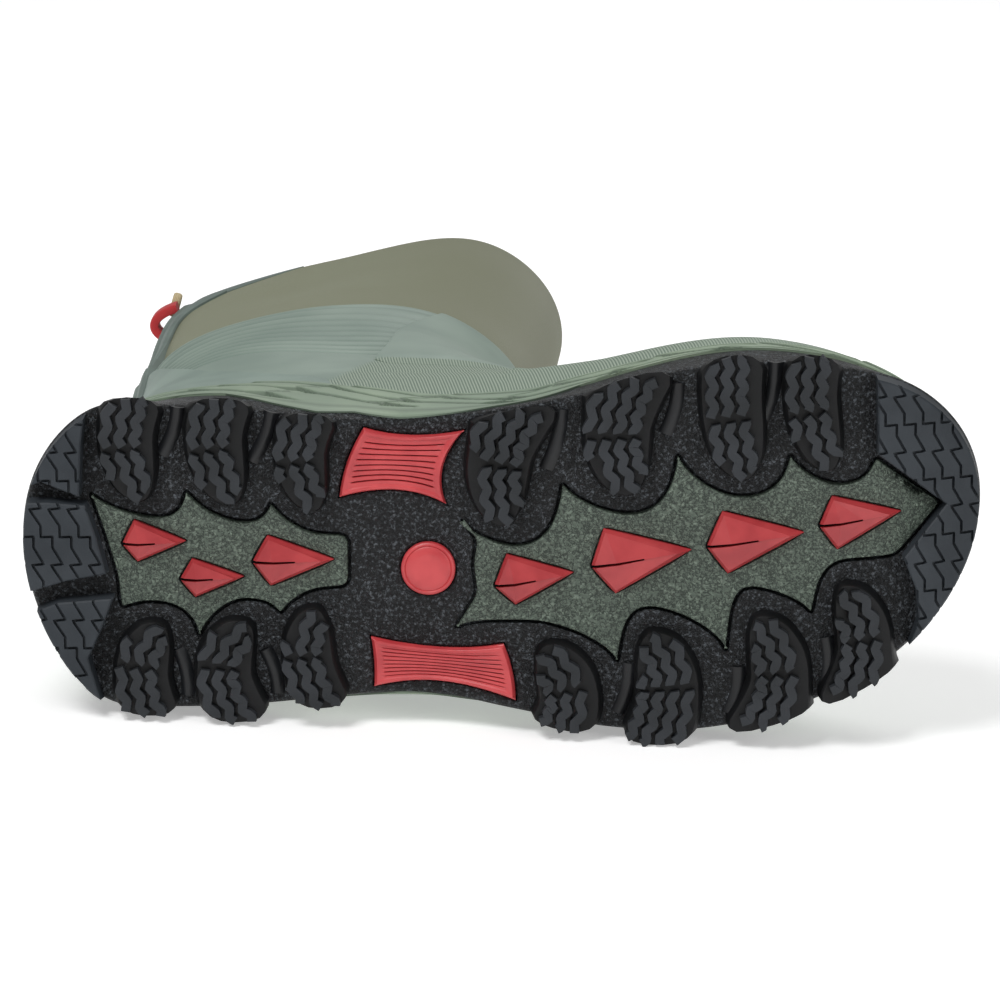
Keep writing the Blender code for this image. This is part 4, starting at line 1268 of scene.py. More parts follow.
def lug_paths():
    """Strips along each lug, kept within its outline and parted by a groove across the middle.

    Each path is rows of place along the sole, across it, and reach along the lug.
    """
    paths = []
    places = np.linspace(-0.05, 1.0, 90)
    for lug in LUGS:
        axis = lug_axis(lug)
        outline = rounded(lug_outline(lug, 0.0, 0.0))
        spots, across = [], []
        for place in places:
            point, along = along_axis(axis, place)
            spots.append(point)
            across.append((along[1], -along[0]))
        spots = np.array(spots)
        across = np.array(across)
        reach = np.concatenate([[0], np.cumsum(np.linalg.norm(np.diff(spots, axis=0), axis=1))])
        middle = np.interp(0.5, places, reach)
        count = int(round((lug.width - 3.5) / STRIP_PITCH))
        shift = math.copysign(STRIP_SHIFT, lug.outer_m)
        for k in range(count):
            run = spots + across * ((k - (count - 1) / 2) * STRIP_PITCH + shift)
            fits = inside(run + across * 1.1, outline) & inside(run - across * 1.1, outline)
            outer_part = fits & (reach < middle - CROSS_GROOVE / 2)
            nose_part = fits & (reach > middle + CROSS_GROOVE / 2)
            for part in (outer_part, nose_part):
                if part.sum() > 3:
                    paths.append(np.column_stack([run[part], reach[part]]))
    return paths


def sipe_paths():
    """Stepped cuts across the heel and toe plates, all on one lattice."""
    paths = []
    for start_s in (HEEL_SIPE_S, TOE_SIPE_S):
        for k in SIPE_COLUMNS:
            here = np.array([start_s + k * SIPE_PITCH - SIPE_OFFSET, SIPE_START_M])
            points = [here]
            for step in SIPE_TURN * SIPE_ROWS:
                points += [here + np.array(step, float) * share for share in (0.1, 0.9, 1.0)]
                here = points[-1]
            points = np.array(points)
            paths.append(np.column_stack([points, np.zeros(len(points))]))
    return paths


def cut_mesh(form, cutter_points, cutter_faces):
    """Take a cutter out of a form, in flat boot axes; both come back as plain points and faces."""
    made = []
    for label, points, faces in (("block", np.concatenate(form.points), form.faces),
                                 ("cutter", cutter_points, cutter_faces)):
        bm = bmesh.new()
        verts = [bm.verts.new((p[0], p[2], p[1])) for p in points]
        for face in faces:
            bm.faces.new([verts[i] for i in face])
        bmesh.ops.recalc_face_normals(bm, faces=bm.faces)
        mesh = bpy.data.meshes.new(label)
        bm.to_mesh(mesh)
        bm.free()
        ob = bpy.data.objects.new(label, mesh)
        bpy.context.collection.objects.link(ob)
        made.append(ob)
    modifier = made[0].modifiers.new("cut", "BOOLEAN")
    modifier.object = made[1]
    modifier.operation = "DIFFERENCE"
    modifier.solver = "EXACT"
    modifier.use_self = True
    cut = bpy.data.meshes.new_from_object(made[0].evaluated_get(bpy.context.evaluated_depsgraph_get()))
    for ob in made:
        bpy.data.objects.remove(ob)
    points = np.array([v.co[:] for v in cut.vertices])[:, [0, 2, 1]]
    faces = [tuple(p.vertices) for p in cut.polygons]
    bpy.data.meshes.remove(cut)
    return points, faces


def disc_outline(radius):
    around = turn(72)
    return np.column_stack([DISC_S + radius * np.cos(around), DISC_M + radius * np.sin(around)])


def settings_in_sole():
    """Outlines of everything that is set in the sole."""
    return (
        softened(heel_panel_outline()),
        softened(forefoot_panel_outline()),
        insert_outline(INNER_INSERT),
        insert_outline(OUTER_INSERT),
        disc_outline(DISC_RADIUS),
    )


def tread_base(material):
    """Black sole without its lugs: pebbled face with pockets, round edge, and side up to the foxing."""
    u = turn(360)
    form = Form()
    pockets = settings_in_sole()
    rim = sole_edge(u, EDGE_ROUND * EDGE_STEPS[0].inset)
    form.face(rim, LUG_DEPTH, [grown(pocket, CHANNEL + POCKET_LIP[0].wide) for pocket in pockets])
    floor = POCKET_FLOOR + POCKET_SINK
    for pocket in pockets:
        rings = [level(grown(pocket, CHANNEL + lip.wide), LUG_DEPTH + lip.sink) for lip in POCKET_LIP]
        foot = grown(pocket, CHANNEL)
        form.wall(bent(rings + [level(foot, floor)]))
        form.face(foot, floor)
    border = border_level(flat_skin(u, BORDER_LEVEL, 0)[:, 0])
    side = flat_skin(u, border, RIM)
    edge = level(sole_edge(u), LUG_DEPTH + EDGE_ROUND)
    rows = [level(sole_edge(u, EDGE_ROUND * step.inset), LUG_DEPTH + EDGE_ROUND * step.rise)
            for step in EDGE_STEPS]
    rows += [edge + (side - edge) * t for t in SIDE_ROWS]
    rows += [flat_skin(u, border, RIM - RIM_LIP), flat_skin(u, border, FIT), flat_skin(u, 0, FIT)]
    form.wall(bent(rows))
    seat = bent(flat_skin(u, 0, FIT))
    half = len(u) // 2
    top = [seat[k] + (seat[-k % len(u)] - seat[k]) * t for k in range(half + 1) for t in (0.0, 0.5, 1.0)]
    form.add(top, grid_faces(half + 1, 3, False))
    return piece("tread_base", form, material, 60)


def lug_blocks(material):
    """Bodies of the lugs, their tops sunk below the zigzag strips."""
    form = Form()
    for lug in LUGS:
        rings = []
        for row in LUG_LEVELS:
            outline = rounded(rounded(lug_outline(lug, row.widen, row.pull)))
            rings.append(level(outline, row.h))
        form.stack(bent(rings))
    return piece("lug_blocks", form, material, 30)


def lug_strips(tree, material):
    sizes = {"Zigzag": ZIGZAG_LENGTH, "Swing": ZIGZAG_SWING, "Step": STRIP_STEP, "Top": 2 * STRIP_HALF,
             "Foot": 2 * STRIP_FOOT, "Height": STRIP_HEIGHT}
    points, faces = bars_along(tree, lug_paths(), STRIP_HEIGHT / 2, sizes, material)
    form = Form()
    form.add(bent(points), faces)
    return piece("lug_strips", form, material, 30)


def edge_plates(tree, material):
    """Heel and toe plates with thin zigzag cuts in their faces."""
    form = Form()
    for outline in plate_outlines():
        face = level(grown(outline, -PLATE_BEVEL), 0.0)
        shoulder = level(outline, PLATE_BEVEL)
        root = level(grown(outline, PLATE_BEVEL), LUG_DEPTH + PLATE_ROOT)
        form.stack([face, shoulder, root])
    sizes = {"Zigzag": 10.0, "Swing": 0.0, "Step": 0.0, "Top": SIPE_WIDTH, "Foot": SIPE_WIDTH,
             "Height": 2 * SIPE_DEPTH}
    cutter, cutter_faces = bars_along(tree, sipe_paths(), 0.0, sizes, material)
    points, faces = cut_mesh(form, cutter, cutter_faces)
    cut = Form()
    cut.add(bent(points), faces)
    return piece("edge_plates", cut, material, 30)


def smooth_bars(tree, material):
    paths = []
    for bar in BARS:
        t = np.linspace(0, 1, 12)[:, None]
        start, end = np.array(bar, float).reshape(2, 2)
        bow = np.array([BAR_BOW, 0.0]) * np.sin(math.pi * t)
        paths.append(np.column_stack([start + (end - start) * t + bow, t]))
    sizes = {"Zigzag": 50.0, "Swing": 0.0, "Step": 1.0, "Top": BAR_TOP, "Foot": BAR_FOOT,
             "Height": BAR_HEIGHT}
    points, faces = bars_along(tree, paths, LUG_DEPTH - BAR_RISE, sizes, material)
    form = Form()
    form.add(bent(points), faces)
    return piece("smooth_bars", form, material, 50)


def stud_seat(row):
    """Outline of the dark groove round a stud."""
    kite = grown(np.array(row, float).reshape(4, 2), STUD_CHANNEL)
    return rounded(rounded(kite, 0.08), 0.25)


def tread_panel(name, outline, studs, material):
    """Green panel with a soft edge and a pocket for each stud."""
    form = Form()
    outline = softened(outline)
    rings = [level(grown(outline, lip.wide), PANEL_FACE + lip.sink) for lip in PANEL_LIP]
    foot = grown(outline, PANEL_WALL)
    form.wall(bent(rings + [level(foot, POCKET_FLOOR)]))
    seats = [stud_seat(row) for row in studs]
    form.face(grown(outline, PANEL_LIP[0].wide), PANEL_FACE, seats, 3.0)
    form.face(foot, POCKET_FLOOR, (), 8.0)
    for seat in seats:
        form.wall(bent([level(seat, PANEL_FACE), level(seat, STUD_POCKET_FLOOR)]))
        form.face(seat, STUD_POCKET_FLOOR)
    return piece(name, form, material, 50)


def stud_form(row):
    """Faceted kite with a ridge."""
    kite = np.array(row, float).reshape(4, 2)
    foot = level(grown(kite, STUD_SPREAD), POCKET_FLOOR)
    brim = level(kite, STUD_FOOT + STUD_BRIM)
    shoulder = level(grown(kite, -STUD_CHAMFER), STUD_FOOT - STUD_CHAMFER)
    tail, inner, tip, outer = kite
    ridge_tail = tail + (tip - tail) * RIDGE_TAIL
    ridge_tip = tail + (tip - tail) * RIDGE_TIP
    points = np.concatenate([foot, brim, shoulder, level([ridge_tail, ridge_tip], STUD_RIDGE)])
    points[-1, 2] += RIDGE_FALL
    faces = grid_faces(3, 4, True) + [(0, 1, 2, 3)]
    faces += [(8, 9, 12), (9, 10, 13, 12), (10, 11, 12, 13), (11, 8, 12)]
    return points, faces


BOX_FACES = ((0, 1, 2, 3), (4, 5, 6, 7), (0, 1, 5, 4), (1, 2, 6, 5), (2, 3, 7, 6), (3, 0, 4, 7))


def slit_box(row, slit):
    """Wedge along a stud's ridge, from beyond its tail to the end of its slit."""
    tail, _, tip, _ = np.array(row, float).reshape(4, 2)
    along = tip - tail
    across = np.array([-along[1], along[0]]) / np.linalg.norm(along) * slit.half
    start = tail + along * SLIT_START
    end = tail + along * SLIT_END
    base = (start + across, start - across, end - across * SLIT_NARROW, end + across * SLIT_NARROW)
    low = [(*p, h) for p, h in zip(base, (slit.low_tail, slit.low_tail, slit.low_end, slit.low_end))]
    return np.array(low + [(*p, slit.high) for p in base])


def tread_studs(name, rows, material, black):
    slit_shades = Form()
    for number, row in enumerate(rows, 1):
        body = Form()
        body.add(*stud_form(row))
        points, faces = cut_mesh(body, slit_box(row, SLIT_CUT), BOX_FACES)
        form = Form()
        form.add(bent(points), faces)
        label = f"{name}_{number}_kite"
        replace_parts(piece(label, form, material, 8), f"{name}_{number}")
        # a black box in each slit stands in for the shade inside it: painted shade
        slit_shades.add(bent(slit_box(row, SLIT_SHADE_FILL)), BOX_FACES)
    piece(f"{name}_slits", slit_shades, black, 30)


def bowed(first, second, middle, amount, t):
    """How far a side from one corner to another bows towards the middle of its plate."""
    inward = middle - (first + second) / 2
    inward /= np.linalg.norm(inward)
    return inward * amount * 4 * t * (1 - t)


def insert_outline(corners):
    """Outline of a waist insert with bowed sides."""
    points = [np.array([corner.s, corner.m], float) for corner in corners]
    middle = np.mean(points, axis=0)
    t = np.linspace(0, 1, 13)[:-1, None]
    sides = []
    for first, second, corner in zip(points, points[1:] + points[:1], corners):
        sides.append(first + (second - first) * t + bowed(first, second, middle, corner.bow, t))
    return np.concatenate(sides)


def waist_insert(name, node, corners, material):
    """Plate with bowed sides, a raised brim and fine grooves that follow its bow."""
    a, b, c, d = (np.array([p.s, p.m], float) for p in corners)
    middle = (a + b + c + d) / 4
    rows, columns = 121, 49
    x = np.linspace(0, 1, columns)[None, :, None]
    y = np.linspace(0, 1, rows)[:, None, None]
    top = a + (b - a) * x + bowed(a, b, middle, corners[0].bow, x)
    low = d + (c - d) * x + bowed(d, c, middle, corners[2].bow, x)
    spots = top + (low - top) * y
    toe_side = bowed(b, c, middle, corners[1].bow, y)
    heel_side = bowed(d, a, middle, corners[3].bow, y)
    spots = spots + toe_side * x + heel_side * (1 - x)
    x, y = x[..., 0], y[..., 0]
    near_end = np.minimum(x, 1 - x) * np.linalg.norm(b - a)
    near_side = np.minimum(y, 1 - y) * np.linalg.norm(d - a)
    near = np.minimum(near_end, near_side)
    brim = 1 - ease(near, *INSERT_BRIM_RUN)
    edge = 1 - ease(near, *INSERT_EDGE_RUN)
    wave = np.abs(((y * (INSERT_GROOVES + 1)) % 1.0) - 0.5) * 2
    groove = ease(wave, *INSERT_GROOVE_WALL) * ease(near, *INSERT_GROOVE_RUN)
    h = INSERT_FACE - INSERT_BRIM * brim + INSERT_GROOVE_DEPTH * groove + INSERT_EDGE * edge ** 2
    outer = np.dstack([spots, np.broadcast_to(h, spots.shape[:2])])
    inner = outer.copy()
    inner[..., 2] = POCKET_FLOOR
    form = Form()
    # the groove mask, kept as the tag, paints shade into the grooves
    form.patch(bent(outer), bent(inner), groove * 0.6)
    ob = piece(name, form, material, 50)
    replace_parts(ob, node)


def waist_disc(material):
    rings = []
    for row in DISC_RINGS:
        radius = max(DISC_RADIUS * row.share, DISC_MIDDLE)
        rings.append(level(disc_outline(radius), row.h))
    form = Form()
    form.stack(bent(rings))
    ob = piece("plain_disc", form, material, 50)
    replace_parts(ob, "waist_disc")


def side_foxing(material):
    """Side band moulded in rows of long pointed leaves, each lapped by the row below it."""
    u = turn(1080)
    s = flat_skin(u, BORDER_LEVEL, 0)[:, 0]
    low = border_level(s) + 0.01
    high = foxing_top(s)
    around = flat_skin(u, 0.6, 0)
    run = np.concatenate([[0], np.cumsum(np.linalg.norm(np.diff(around, axis=0), axis=1))])
    total = run[-1] + np.linalg.norm(around[0] - around[-1])
    share = np.linspace(0, 1, 41)[:, None]
    rise = np.zeros((len(share), len(u)))
    line = np.zeros_like(rise)
    for leaf in LEAF_ROWS:
        place = (run / total * leaf.count + leaf.shift) % 1.0
        place = np.where(np.sin(u) >= 0, place, 1 - place)
        half = leaf.half * np.sin(math.pi * place) ** LEAF_POINT + 1e-3
        across = (share - leaf.middle - leaf.slant * (place - 0.5)) / half
        body = np.clip(1 - across ** 2, 0, 1) ** 0.5
        on = ease(body, 0.0, LEAF_BLEND)
        rise = rise * (1 - on) + on * (leaf.lift + LEAF_CROWN * body - LEAF_TILT * across * on)
        edge = np.exp(-(((np.abs(across) - 1) * half) / LEAF_LINE) ** 2)
        line = np.maximum(line * (1 - on), edge)
    round_top = FOXING_TOP_ROUND * ease(share, FOXING_TOP_START, 1.0) ** 2
    offset = FOXING_THICK + LEAF_RISE * rise - LEAF_LINE_DEPTH * line - round_top
    dip = np.interp(s, *np.array(FOXING_DIP).T)[:, None]
    first = flat_skin(u, low, np.maximum(offset[0], RIM + DIP_LIP))
    edge = level(sole_edge(u, -0.5), LUG_DEPTH + EDGE_ROUND)
    inner_first = flat_skin(u, low, 0.0)
    inner_edge = level(sole_edge(u, 2.5), LUG_DEPTH + EDGE_ROUND)
    rings = [bent(first + (edge - first) * dip * row) for row in DIP_ROWS]
    # tags that paint shade on the dipped rows
    tags = [np.where(dip[:, 0] > 0.02, mark, 0.0) for mark in DIP_SHADE]
    rings += list(on_skin(u[None, :], low + (high - low) * share, offset))
    # tags that paint shade into the lap lines
    tags += list(np.clip(line, 0, 1) * LEAF_LINE_SHADE)
    for inner_share in (1.0, 0.5, 0.0):
        rings.append(on_skin(u, low + (high - low) * inner_share, 0.0))
        tags.append(np.zeros(len(u)))
    rings.append(bent(inner_first + (inner_edge - inner_first) * dip))
    tags.append(np.zeros(len(u)))
    form = Form()
    form.loop(rings, np.array(tags))
    ob = piece("leaf_foxing", form, material, 40)
    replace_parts(ob, "foxing")


def foot_and_ankle(material):
    """Upper: hatched foot with a seam, plain heel, ribbed ankle and a rounded top edge."""
    u = turn(264)[None, :]
    v = np.concatenate([np.linspace(0, 7.6, 96), np.linspace(7.66, RUBBER_TOP, 190)])[:, None]
    flat = flat_skin(u, v, 0)
    s = flat[..., 0]
    behind = np.cos(u)
    rib_zone = ease(v, RIB_FOOT, RIB_FULL) * (1 - ease(v, RIB_FADE, RIB_HEAD))
    rib = np.abs(np.sin(math.pi * (v - RIB_FOOT) * RIBS_PER_SECTION)) ** RIB_FULLNESS
    ribs = -RIB_DEPTH * (1 - rib) * rib_zone
    rise = flat[..., 2] - LEAN_FROM
    past_seam = s - SEAM_S - SEAM_LEAN * rise
    past_edge = s - CLOTH_EDGE_S - CLOTH_EDGE_LEAN * rise
    seam = SEAM_RISE * np.exp(-(past_seam / SEAM_HALF) ** 2) * (1 - ease(v, *SEAM_END))
    edge_seam = EDGE_SEAM_RISE * np.exp(-(past_edge / EDGE_SEAM_HALF) ** 2) * (1 - ease(v, *EDGE_SEAM_END))
    dent_zone = ease(behind, *DENT_BACK) * (1 - ease(behind, *DENT_FRONT))
    dent = -DENT_DEPTH * np.exp(-((v - DENT_LEVEL) / DENT_HALF) ** 2) * dent_zone
    lip = -LIP_DROP * ease(v, LIP_START, RUBBER_TOP) ** 2
    offset = ribs + seam + edge_seam + dent + lip
    cloth = ease(past_edge, 0, 2) * (1 - ease(v, CLOTH_TOP, CLOTH_TOP + CLOTH_FADE))
    # negative tags paint shade into the grooves between the ribs
    cloth = cloth - RIB_GROOVE_SHADE * (1 - rib) * rib_zone
    outer = on_skin(u, v, offset)
    inner_v = np.concatenate([[LAP_START], np.arange(11.0, -1, -1)])[:, None]
    inner = on_skin(u, inner_v, -UPPER_WALL)
    lap = on_skin(u, np.array([[RUBBER_TOP], [LAP_START]]), -LAP - 0.4)
    rings = np.concatenate([outer, lap, inner])
    tags = np.concatenate([cloth, np.zeros((len(lap) + len(inner), u.shape[1]))])
    form = Form()
    form.loop(rings, tags)
    ob = piece("foot_and_ankle", form, material, 50)
    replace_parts(ob, "upper")


def shaft_sleeve(material):
    """Slack textile shaft with a soft fold down its side and a turned edge at the collar."""
    u = turn(200)[None, :]
    v = np.linspace(LAP_START + 0.02, COLLAR, 110)[:, None]
    behind = np.cos(u)
    past_fold = behind + FOLD_PLACE - FOLD_LEAN * (v - FOLD_RUN[1])
    fold = -FOLD_DEPTH * np.exp(-(past_fold / FOLD_HALF) ** 2) * ease(v, *FOLD_RUN)
    ripple = RIPPLE * np.sin(RIPPLE_UP * v + RIPPLE_AROUND * u) * ease(v, *RIPPLE_RUN)
    face = -LAP - FIT
    outer = on_skin(u, v, face + fold + ripple - COLLAR_ROUND * ease(v, COLLAR - 0.05, COLLAR))
    inner = on_skin(u, v[::-1], face - SHAFT_WALL + (fold + ripple)[::-1])
    rings = np.concatenate([outer, inner])
    tags = np.concatenate([np.zeros(outer.shape[:2]), np.ones(inner.shape[:2])])
    form = Form()
    form.loop(rings, tags)
    ob = piece("shaft_sleeve", form, material, 60)
    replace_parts(ob, "shaft")


def soft_patch(name, node, u, v, thick, material, base=0.0, tag=0.0):
    """Overlay on the skin whose edges roll down to it."""
    rows, columns = v.shape
    r = np.minimum(np.arange(rows), np.arange(rows)[::-1])[:, None]
    c = np.minimum(np.arange(columns), np.arange(columns)[::-1])[None, :]
    rim = np.minimum(ease(r, -0.5, 2.5), ease(c, -0.5, 2.5))
    outer = on_skin(u, v, base + thick * (ROLLED_EDGE + (1 - ROLLED_EDGE) * rim))
    inner = on_skin(u, v, base - 0.5)
    form = Form()
    form.patch(outer, inner, tag)
    ob = piece(name, form, material, 50)
    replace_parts(ob, node)


def heel_shield(material):
    """Tall shield round the heel; its top edge falls from the strip up the back to the foxing."""
    a = np.linspace(-1, 1, 130)[None, :]
    u = math.pi + a * COUNTER_SPAN
    b = np.linspace(0, 1, 90)[:, None]
    foot = foxing_top(flat_skin(u, BORDER_LEVEL, 0)[..., 0]) - 0.15
    head = smooth(np.abs(u - math.pi), *np.array(COUNTER_TOP).T)
    v = foot + (head - foot) * b
    soft_patch("heel_shield", "heel_counter", np.broadcast_to(u, v.shape), v, OVERLAY, material)


def instep_shield(material):
    a = np.linspace(-1, 1, 140)[None, :]
    u = a * GUARD_SPAN
    b = np.linspace(0, 1, 90)[:, None]
    away = np.clip((np.abs(u) - GUARD_FRONT) / (GUARD_SPAN - GUARD_FRONT), 0, 1)
    head = RUBBER_TOP - 0.03 - (RUBBER_TOP - GUARD_END) * away
    v = GUARD_FOOT + (head - GUARD_FOOT) * b
    thick = OVERLAY * (0.1 + 0.9 * ease(v, GUARD_FOOT, CLOTH_TOP + 0.5))
    cloth = 1 - ease(v, CLOTH_TOP, CLOTH_TOP + CLOTH_FADE)
    u = np.broadcast_to(u, v.shape)
    soft_patch("instep_shield", "instep_guard", u, v, thick, material, tag=cloth)


def back_strip(material):
    """Strip up the back: a cord along its middle, a groove on either side and flat wings."""
    a = np.linspace(-1, 1, 61)[None, :]
    v = np.linspace(STAY_FOOT, STAY_HEAD, 170)[:, None]
    ring = Ring(*smooth(v[:, 0], np.arange(len(RINGS)), np.array(RINGS, float)).T)
    half = STAY_HALF / np.sqrt(ring.back_round * (ring.front_s - ring.back_s) / 2)[:, None]
    u = math.pi - a * half
    cord = STAY_RIDGE * (1 - ease(np.abs(a), *CORD_SIDE))
    ridge = cord - STAY_GROOVE * np.exp(-((np.abs(a) - CORD_GROOVE) / CORD_GROOVE_HALF) ** 2)
    step = 1 - ease(v, STAY_STEP - 0.05, STAY_STEP + 0.08)
    soft_step = 1 - ease(v, STAY_STEP - 0.6, STAY_STEP + 1.6)
    base = -LAP + 0.2 + (LAP + OVERLAY) * step
    face = -LAP + 0.2 + (LAP + OVERLAY) * np.maximum(step * 0.55, soft_step)
    edge = ROLLED_EDGE + (1 - ROLLED_EDGE) * ease(1 - np.abs(a), 0.0, STAY_EDGE)
    outer = on_skin(u, v, np.maximum(base, face) + STAY_THICK * edge + ridge)
    inner = on_skin(u, v, np.where(v > STAY_STEP - 0.5, -LAP - 0.2, base - 0.4))
    form = Form()
    form.patch(outer, inner)
    ob = piece("back_strip", form, material, 50)
    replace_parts(ob, "backstay")


def collar_tape(material):
    a = np.linspace(-1, 1, 120)[None, :]
    b = np.linspace(0, 1, 14)[:, None]
    depth = np.interp(np.abs(a), (TAPE_HOLD, 1), (TAPE_DEPTH_BACK, TAPE_DEPTH_FRONT))
    v = COLLAR - 0.005 - depth * (1 - b)
    u = np.broadcast_to(math.pi - a * TAPE_SPAN, v.shape)
    soft_patch("collar_tape", "collar_binding", u, v, 0.05 + 1.15 * (1 - a ** 2), material, -LAP - 0.1)


def strap_path(count):
    a = np.linspace(-1, 1, count)
    off = np.interp(a, (-1, 1), (STRAP_OFF_OUTER, STRAP_OFF_INNER)) + STRAP_THICK / 2
    points = on_skin(math.pi + STRAP_TURN - a * STRAP_SPAN, STRAP_LEVEL, off)
    points[:, 0] -= STRAP_BOW * (1 - a ** 2) ** 0.8
    return points


def heel_strap(material):
    """Webbing strap with rounded edges, bowed off the back of the collar."""
    path = strap_path(61)
    along = np.gradient(path[:, :2], axis=0)
    along /= np.linalg.norm(along, axis=1, keepdims=True)
    across = np.column_stack([along[:, 1], -along[:, 0]])
    middle = path[:, 2].mean()
    rings = []
    for angle in turn(20):
        out = np.sign(math.cos(angle)) * abs(math.cos(angle)) ** 0.6 * STRAP_THICK / 2
        out += STRAP_FILL * (math.cos(angle) > 0)
        rise = np.sign(math.sin(angle)) * abs(math.sin(angle)) ** 0.3 * STRAP_HEIGHT / 2
        rings.append(level(path[:, :2] + across * out, middle + rise))
    form = Form()
    form.stack(np.swapaxes(np.array(rings), 0, 1))
    ob = piece("heel_strap", form, material, 50)
    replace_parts(ob, "pull_strap")


def strap_tongue(material):
    lean = math.radians(TIP_LEAN_DEG)
    along = np.array([math.cos(lean), math.sin(lean)])
    across = np.array([-along[1], along[0]])
    foot = strap_path(15)[:, 2].mean() + STRAP_HEIGHT / 2 + FIT
    half = TIP_HEIGHT / 2
    outline = [(0.0, TIP_HEIGHT), (0.0, 0.0)]
    for t in np.linspace(math.pi, 0, 21):
        outline.append((TIP_LENGTH - half * (1 - math.sin(t)), half * (1 + math.cos(t))))
    outline = np.array(outline)
    rings = []
    for side, inset in ((-1, 0.8), (-0.8, 0.3), (-0.4, 0.0), (0.4, 0.0), (0.8, 0.3), (1, 0.8)):
        shape = grown(outline, -inset)
        base = np.array(TIP_FOOT) + across * side * TIP_THICK / 2
        rings.append([(*(base + along * x), foot + y) for x, y in shape])
    form = Form()
    form.stack(rings)
    ob = piece("strap_tongue", form, material, 50)
    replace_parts(ob, "strap_tip")


def inner_sole(material):
    u = turn(160)
    outline = flat_skin(u, 0, -UPPER_WALL - 0.6)
    outline[:, 2] += spring_lift(outline[:, 0])
    middle = outline.mean(axis=0)
    rings = []
    for share, h in ((0.97, 0.0), (1.0, 0.6), (1.0, INSOLE - 0.8), (0.985, INSOLE)):
        ring = outline.copy()
        ring[:, :2] = middle[:2] + (outline[:, :2] - middle[:2]) * share
        ring[:, 2] += h
        rings.append(ring)
    form = Form()
    half = len(u) // 2
    faces = grid_faces(len(rings), len(u), True)
    for start in (0, (len(rings) - 1) * len(u)):
        faces.append((start, start + 1, start + len(u) - 1))
        faces.append((start + half, start + half + 1, start + half - 1))
        for k in range(1, half - 1):
            faces.append((start + k, start + k + 1, start + len(u) - k - 1, start + len(u) - k))
    form.add(rings, faces, 1.0)
    ob = piece("inner_sole", form, material, 50)
    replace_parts(ob, "insole")


def studio():
    """Pale floor, a large soft key from above and softer fills."""
    scene = bpy.context.scene
    scene.view_settings.view_transform = "Standard"
    mesh = bpy.data.meshes.new("floor")
    corners = [(x * FLOOR_HALF, y * FLOOR_HALF, 0) for x, y in ((-1, -1), (1, -1), (1, 1), (-1, 1))]
    mesh.from_pydata(corners, [], [(0, 1, 2, 3)])
    mesh.materials.append(floor_paint("pale_floor"))
    floor = bpy.data.objects.new("floor", mesh)
    bpy.context.collection.objects.link(floor)
    world = bpy.data.worlds.new("studio")
    world.use_nodes = True
    sky = world.node_tree.nodes["Background"]
    sky.inputs["Color"].default_value = (1.0, 1.0, 1.0, 1.0)
    sky.inputs["Strength"].default_value = SKY_LIGHT
    scene.world = world
    for lamp in LAMPS:
        light = bpy.data.lights.new(lamp.name, "AREA")
        light.size = lamp.size
        light.energy = lamp.power
        ob = bpy.data.objects.new(lamp.name, light)
        bpy.context.collection.objects.link(ob)
        spot = np.array([lamp.x, lamp.y, lamp.z])
        z = spot - np.array(LIGHT_AIM)
        z /= np.linalg.norm(z)
        x = np.cross([0, 0, 1], z)
        x /= np.linalg.norm(x)
        y = np.cross(z, x)
        pose = Matrix((x, y, z)).transposed().to_4x4()
        pose.translation = spot
        ob.matrix_world = pose


def photo_camera():
    """Camera at the photograph's angle to the boot."""
    rise = math.radians(CAMERA_RISE_DEG)
    way = math.radians(CAMERA_TURN_DEG)
    toward = np.array([math.sin(way) * math.cos(rise), -math.cos(way) * math.cos(rise), math.sin(rise)])
    right = np.cross([0.0, 0.0, 1.0], toward)
    right /= np.linalg.norm(right)
    up = np.cross(toward, right)
    aim = laid([CAMERA_AIM])[0]
    toward, right, up = (LYING @ axis for axis in (toward, right, up))
    camera = bpy.data.cameras.new("photo_camera")
    camera.lens = CAMERA_LENS
    camera.sensor_width = 36.0
    camera.clip_end = 100.0
    ob = bpy.data.objects.new("photo_camera", camera)
    bpy.context.collection.objects.link(ob)
    pose = Matrix((right, up, toward)).transposed().to_4x4()
    pose.translation = aim + toward * CAMERA_DISTANCE * MM
    ob.matrix_world = pose
    bpy.context.scene.camera = ob


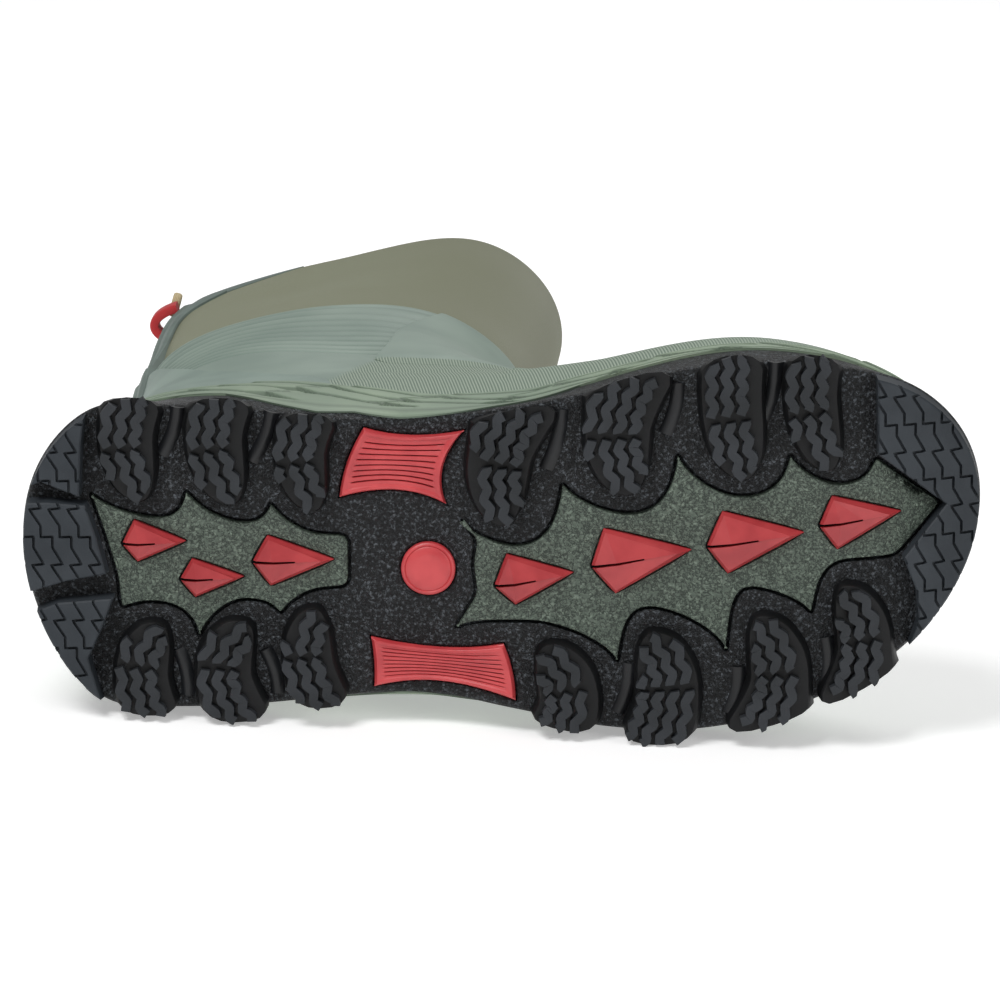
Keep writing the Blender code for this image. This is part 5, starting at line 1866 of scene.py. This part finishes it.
def main():
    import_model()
    photo_camera()
    studio()

    # pebbled colours: painted shade in the creases, the rubber's own black, painted glints
    pebble = pebbled("pebbled_black", srgb(2, 2, 3), srgb(24, 26, 28), srgb(86, 91, 96), 0.6, 0.3, 0.25)
    lug_black = plain_rubber("lug_black", srgb(6, 7, 8), srgb(14, 15, 17), 0.42, 0.05, 0.3)
    strip_grey = plain_rubber("strip_grey", srgb(34, 37, 40), srgb(46, 49, 53), 0.5, 0.06, 0.3)
    plate_grey = plain_rubber("plate_grey", srgb(38, 43, 48), srgb(50, 55, 60), 0.5, 0.06, 0.3)
    # near-black material for the boxes in the stud slits: painted shade
    slit_shade_rubber = plain_rubber("painted_slit_shade", srgb(3, 3, 4), srgb(5, 5, 6), 0.8, 0.03, 0.1)
    bar_black = plain_rubber("bar_black", srgb(14, 15, 17), srgb(22, 24, 27), 0.3, 0.03, 0.4)
    # pebbled colours: painted shade in the creases, the panel's own green, painted glints
    greens = (srgb(34, 42, 36), srgb(78, 89, 79), srgb(114, 127, 114))
    panel_green = pebbled("panel_green", *greens, 0.45, 0.4, 0.4)
    red = red_rubber("red_rubber_moulded", srgb(176, 52, 57), srgb(196, 67, 70))
    stud_red = red_rubber("red_rubber_studs", srgb(154, 42, 47), srgb(174, 56, 59))
    leaf = leaf_rubber("leaf_green")
    foot = foot_rubber("foot_green")
    shield = plain_rubber("shield_green", srgb(112, 130, 121), srgb(128, 146, 136), 0.46, 0.03)
    tape = plain_rubber("tape_green", srgb(88, 102, 96), srgb(102, 117, 110), 0.5, 0.03)
    olive = shaft_cloth("olive_cloth")
    red_tape = webbing("red_tape", srgb(150, 26, 32), srgb(206, 48, 50))
    sand = webbing("sand_tongue", srgb(168, 150, 112), srgb(200, 184, 146))
    foam = webbing("inner_cloth", srgb(40, 44, 42), srgb(60, 64, 60))

    bars = strip_tree()
    base = tread_base(pebble)
    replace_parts(base, "outsole")
    lug_blocks(lug_black)
    lug_strips(bars, strip_grey)
    edge_plates(bars, plate_grey)
    smooth_bars(bars, bar_black)
    heel = tread_panel("heel_green", heel_panel_outline(), HEEL_STUDS, panel_green)
    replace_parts(heel, "heel_panel")
    forefoot = tread_panel("forefoot_green", forefoot_panel_outline(), FOREFOOT_STUDS, panel_green)
    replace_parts(forefoot, "forefoot_panel")
    tread_studs("heel_stud", HEEL_STUDS, stud_red, slit_shade_rubber)
    tread_studs("forefoot_stud", FOREFOOT_STUDS, stud_red, slit_shade_rubber)
    waist_insert("inner_grip", "waist_insert_inner", INNER_INSERT, red)
    waist_insert("outer_grip", "waist_insert_outer", OUTER_INSERT, red)
    waist_disc(red)
    side_foxing(leaf)
    foot_and_ankle(foot)
    shaft_sleeve(olive)
    heel_shield(shield)
    instep_shield(foot)
    back_strip(tape)
    collar_tape(tape)
    heel_strap(red_tape)
    strap_tongue(sand)
    inner_sole(foam)


main()
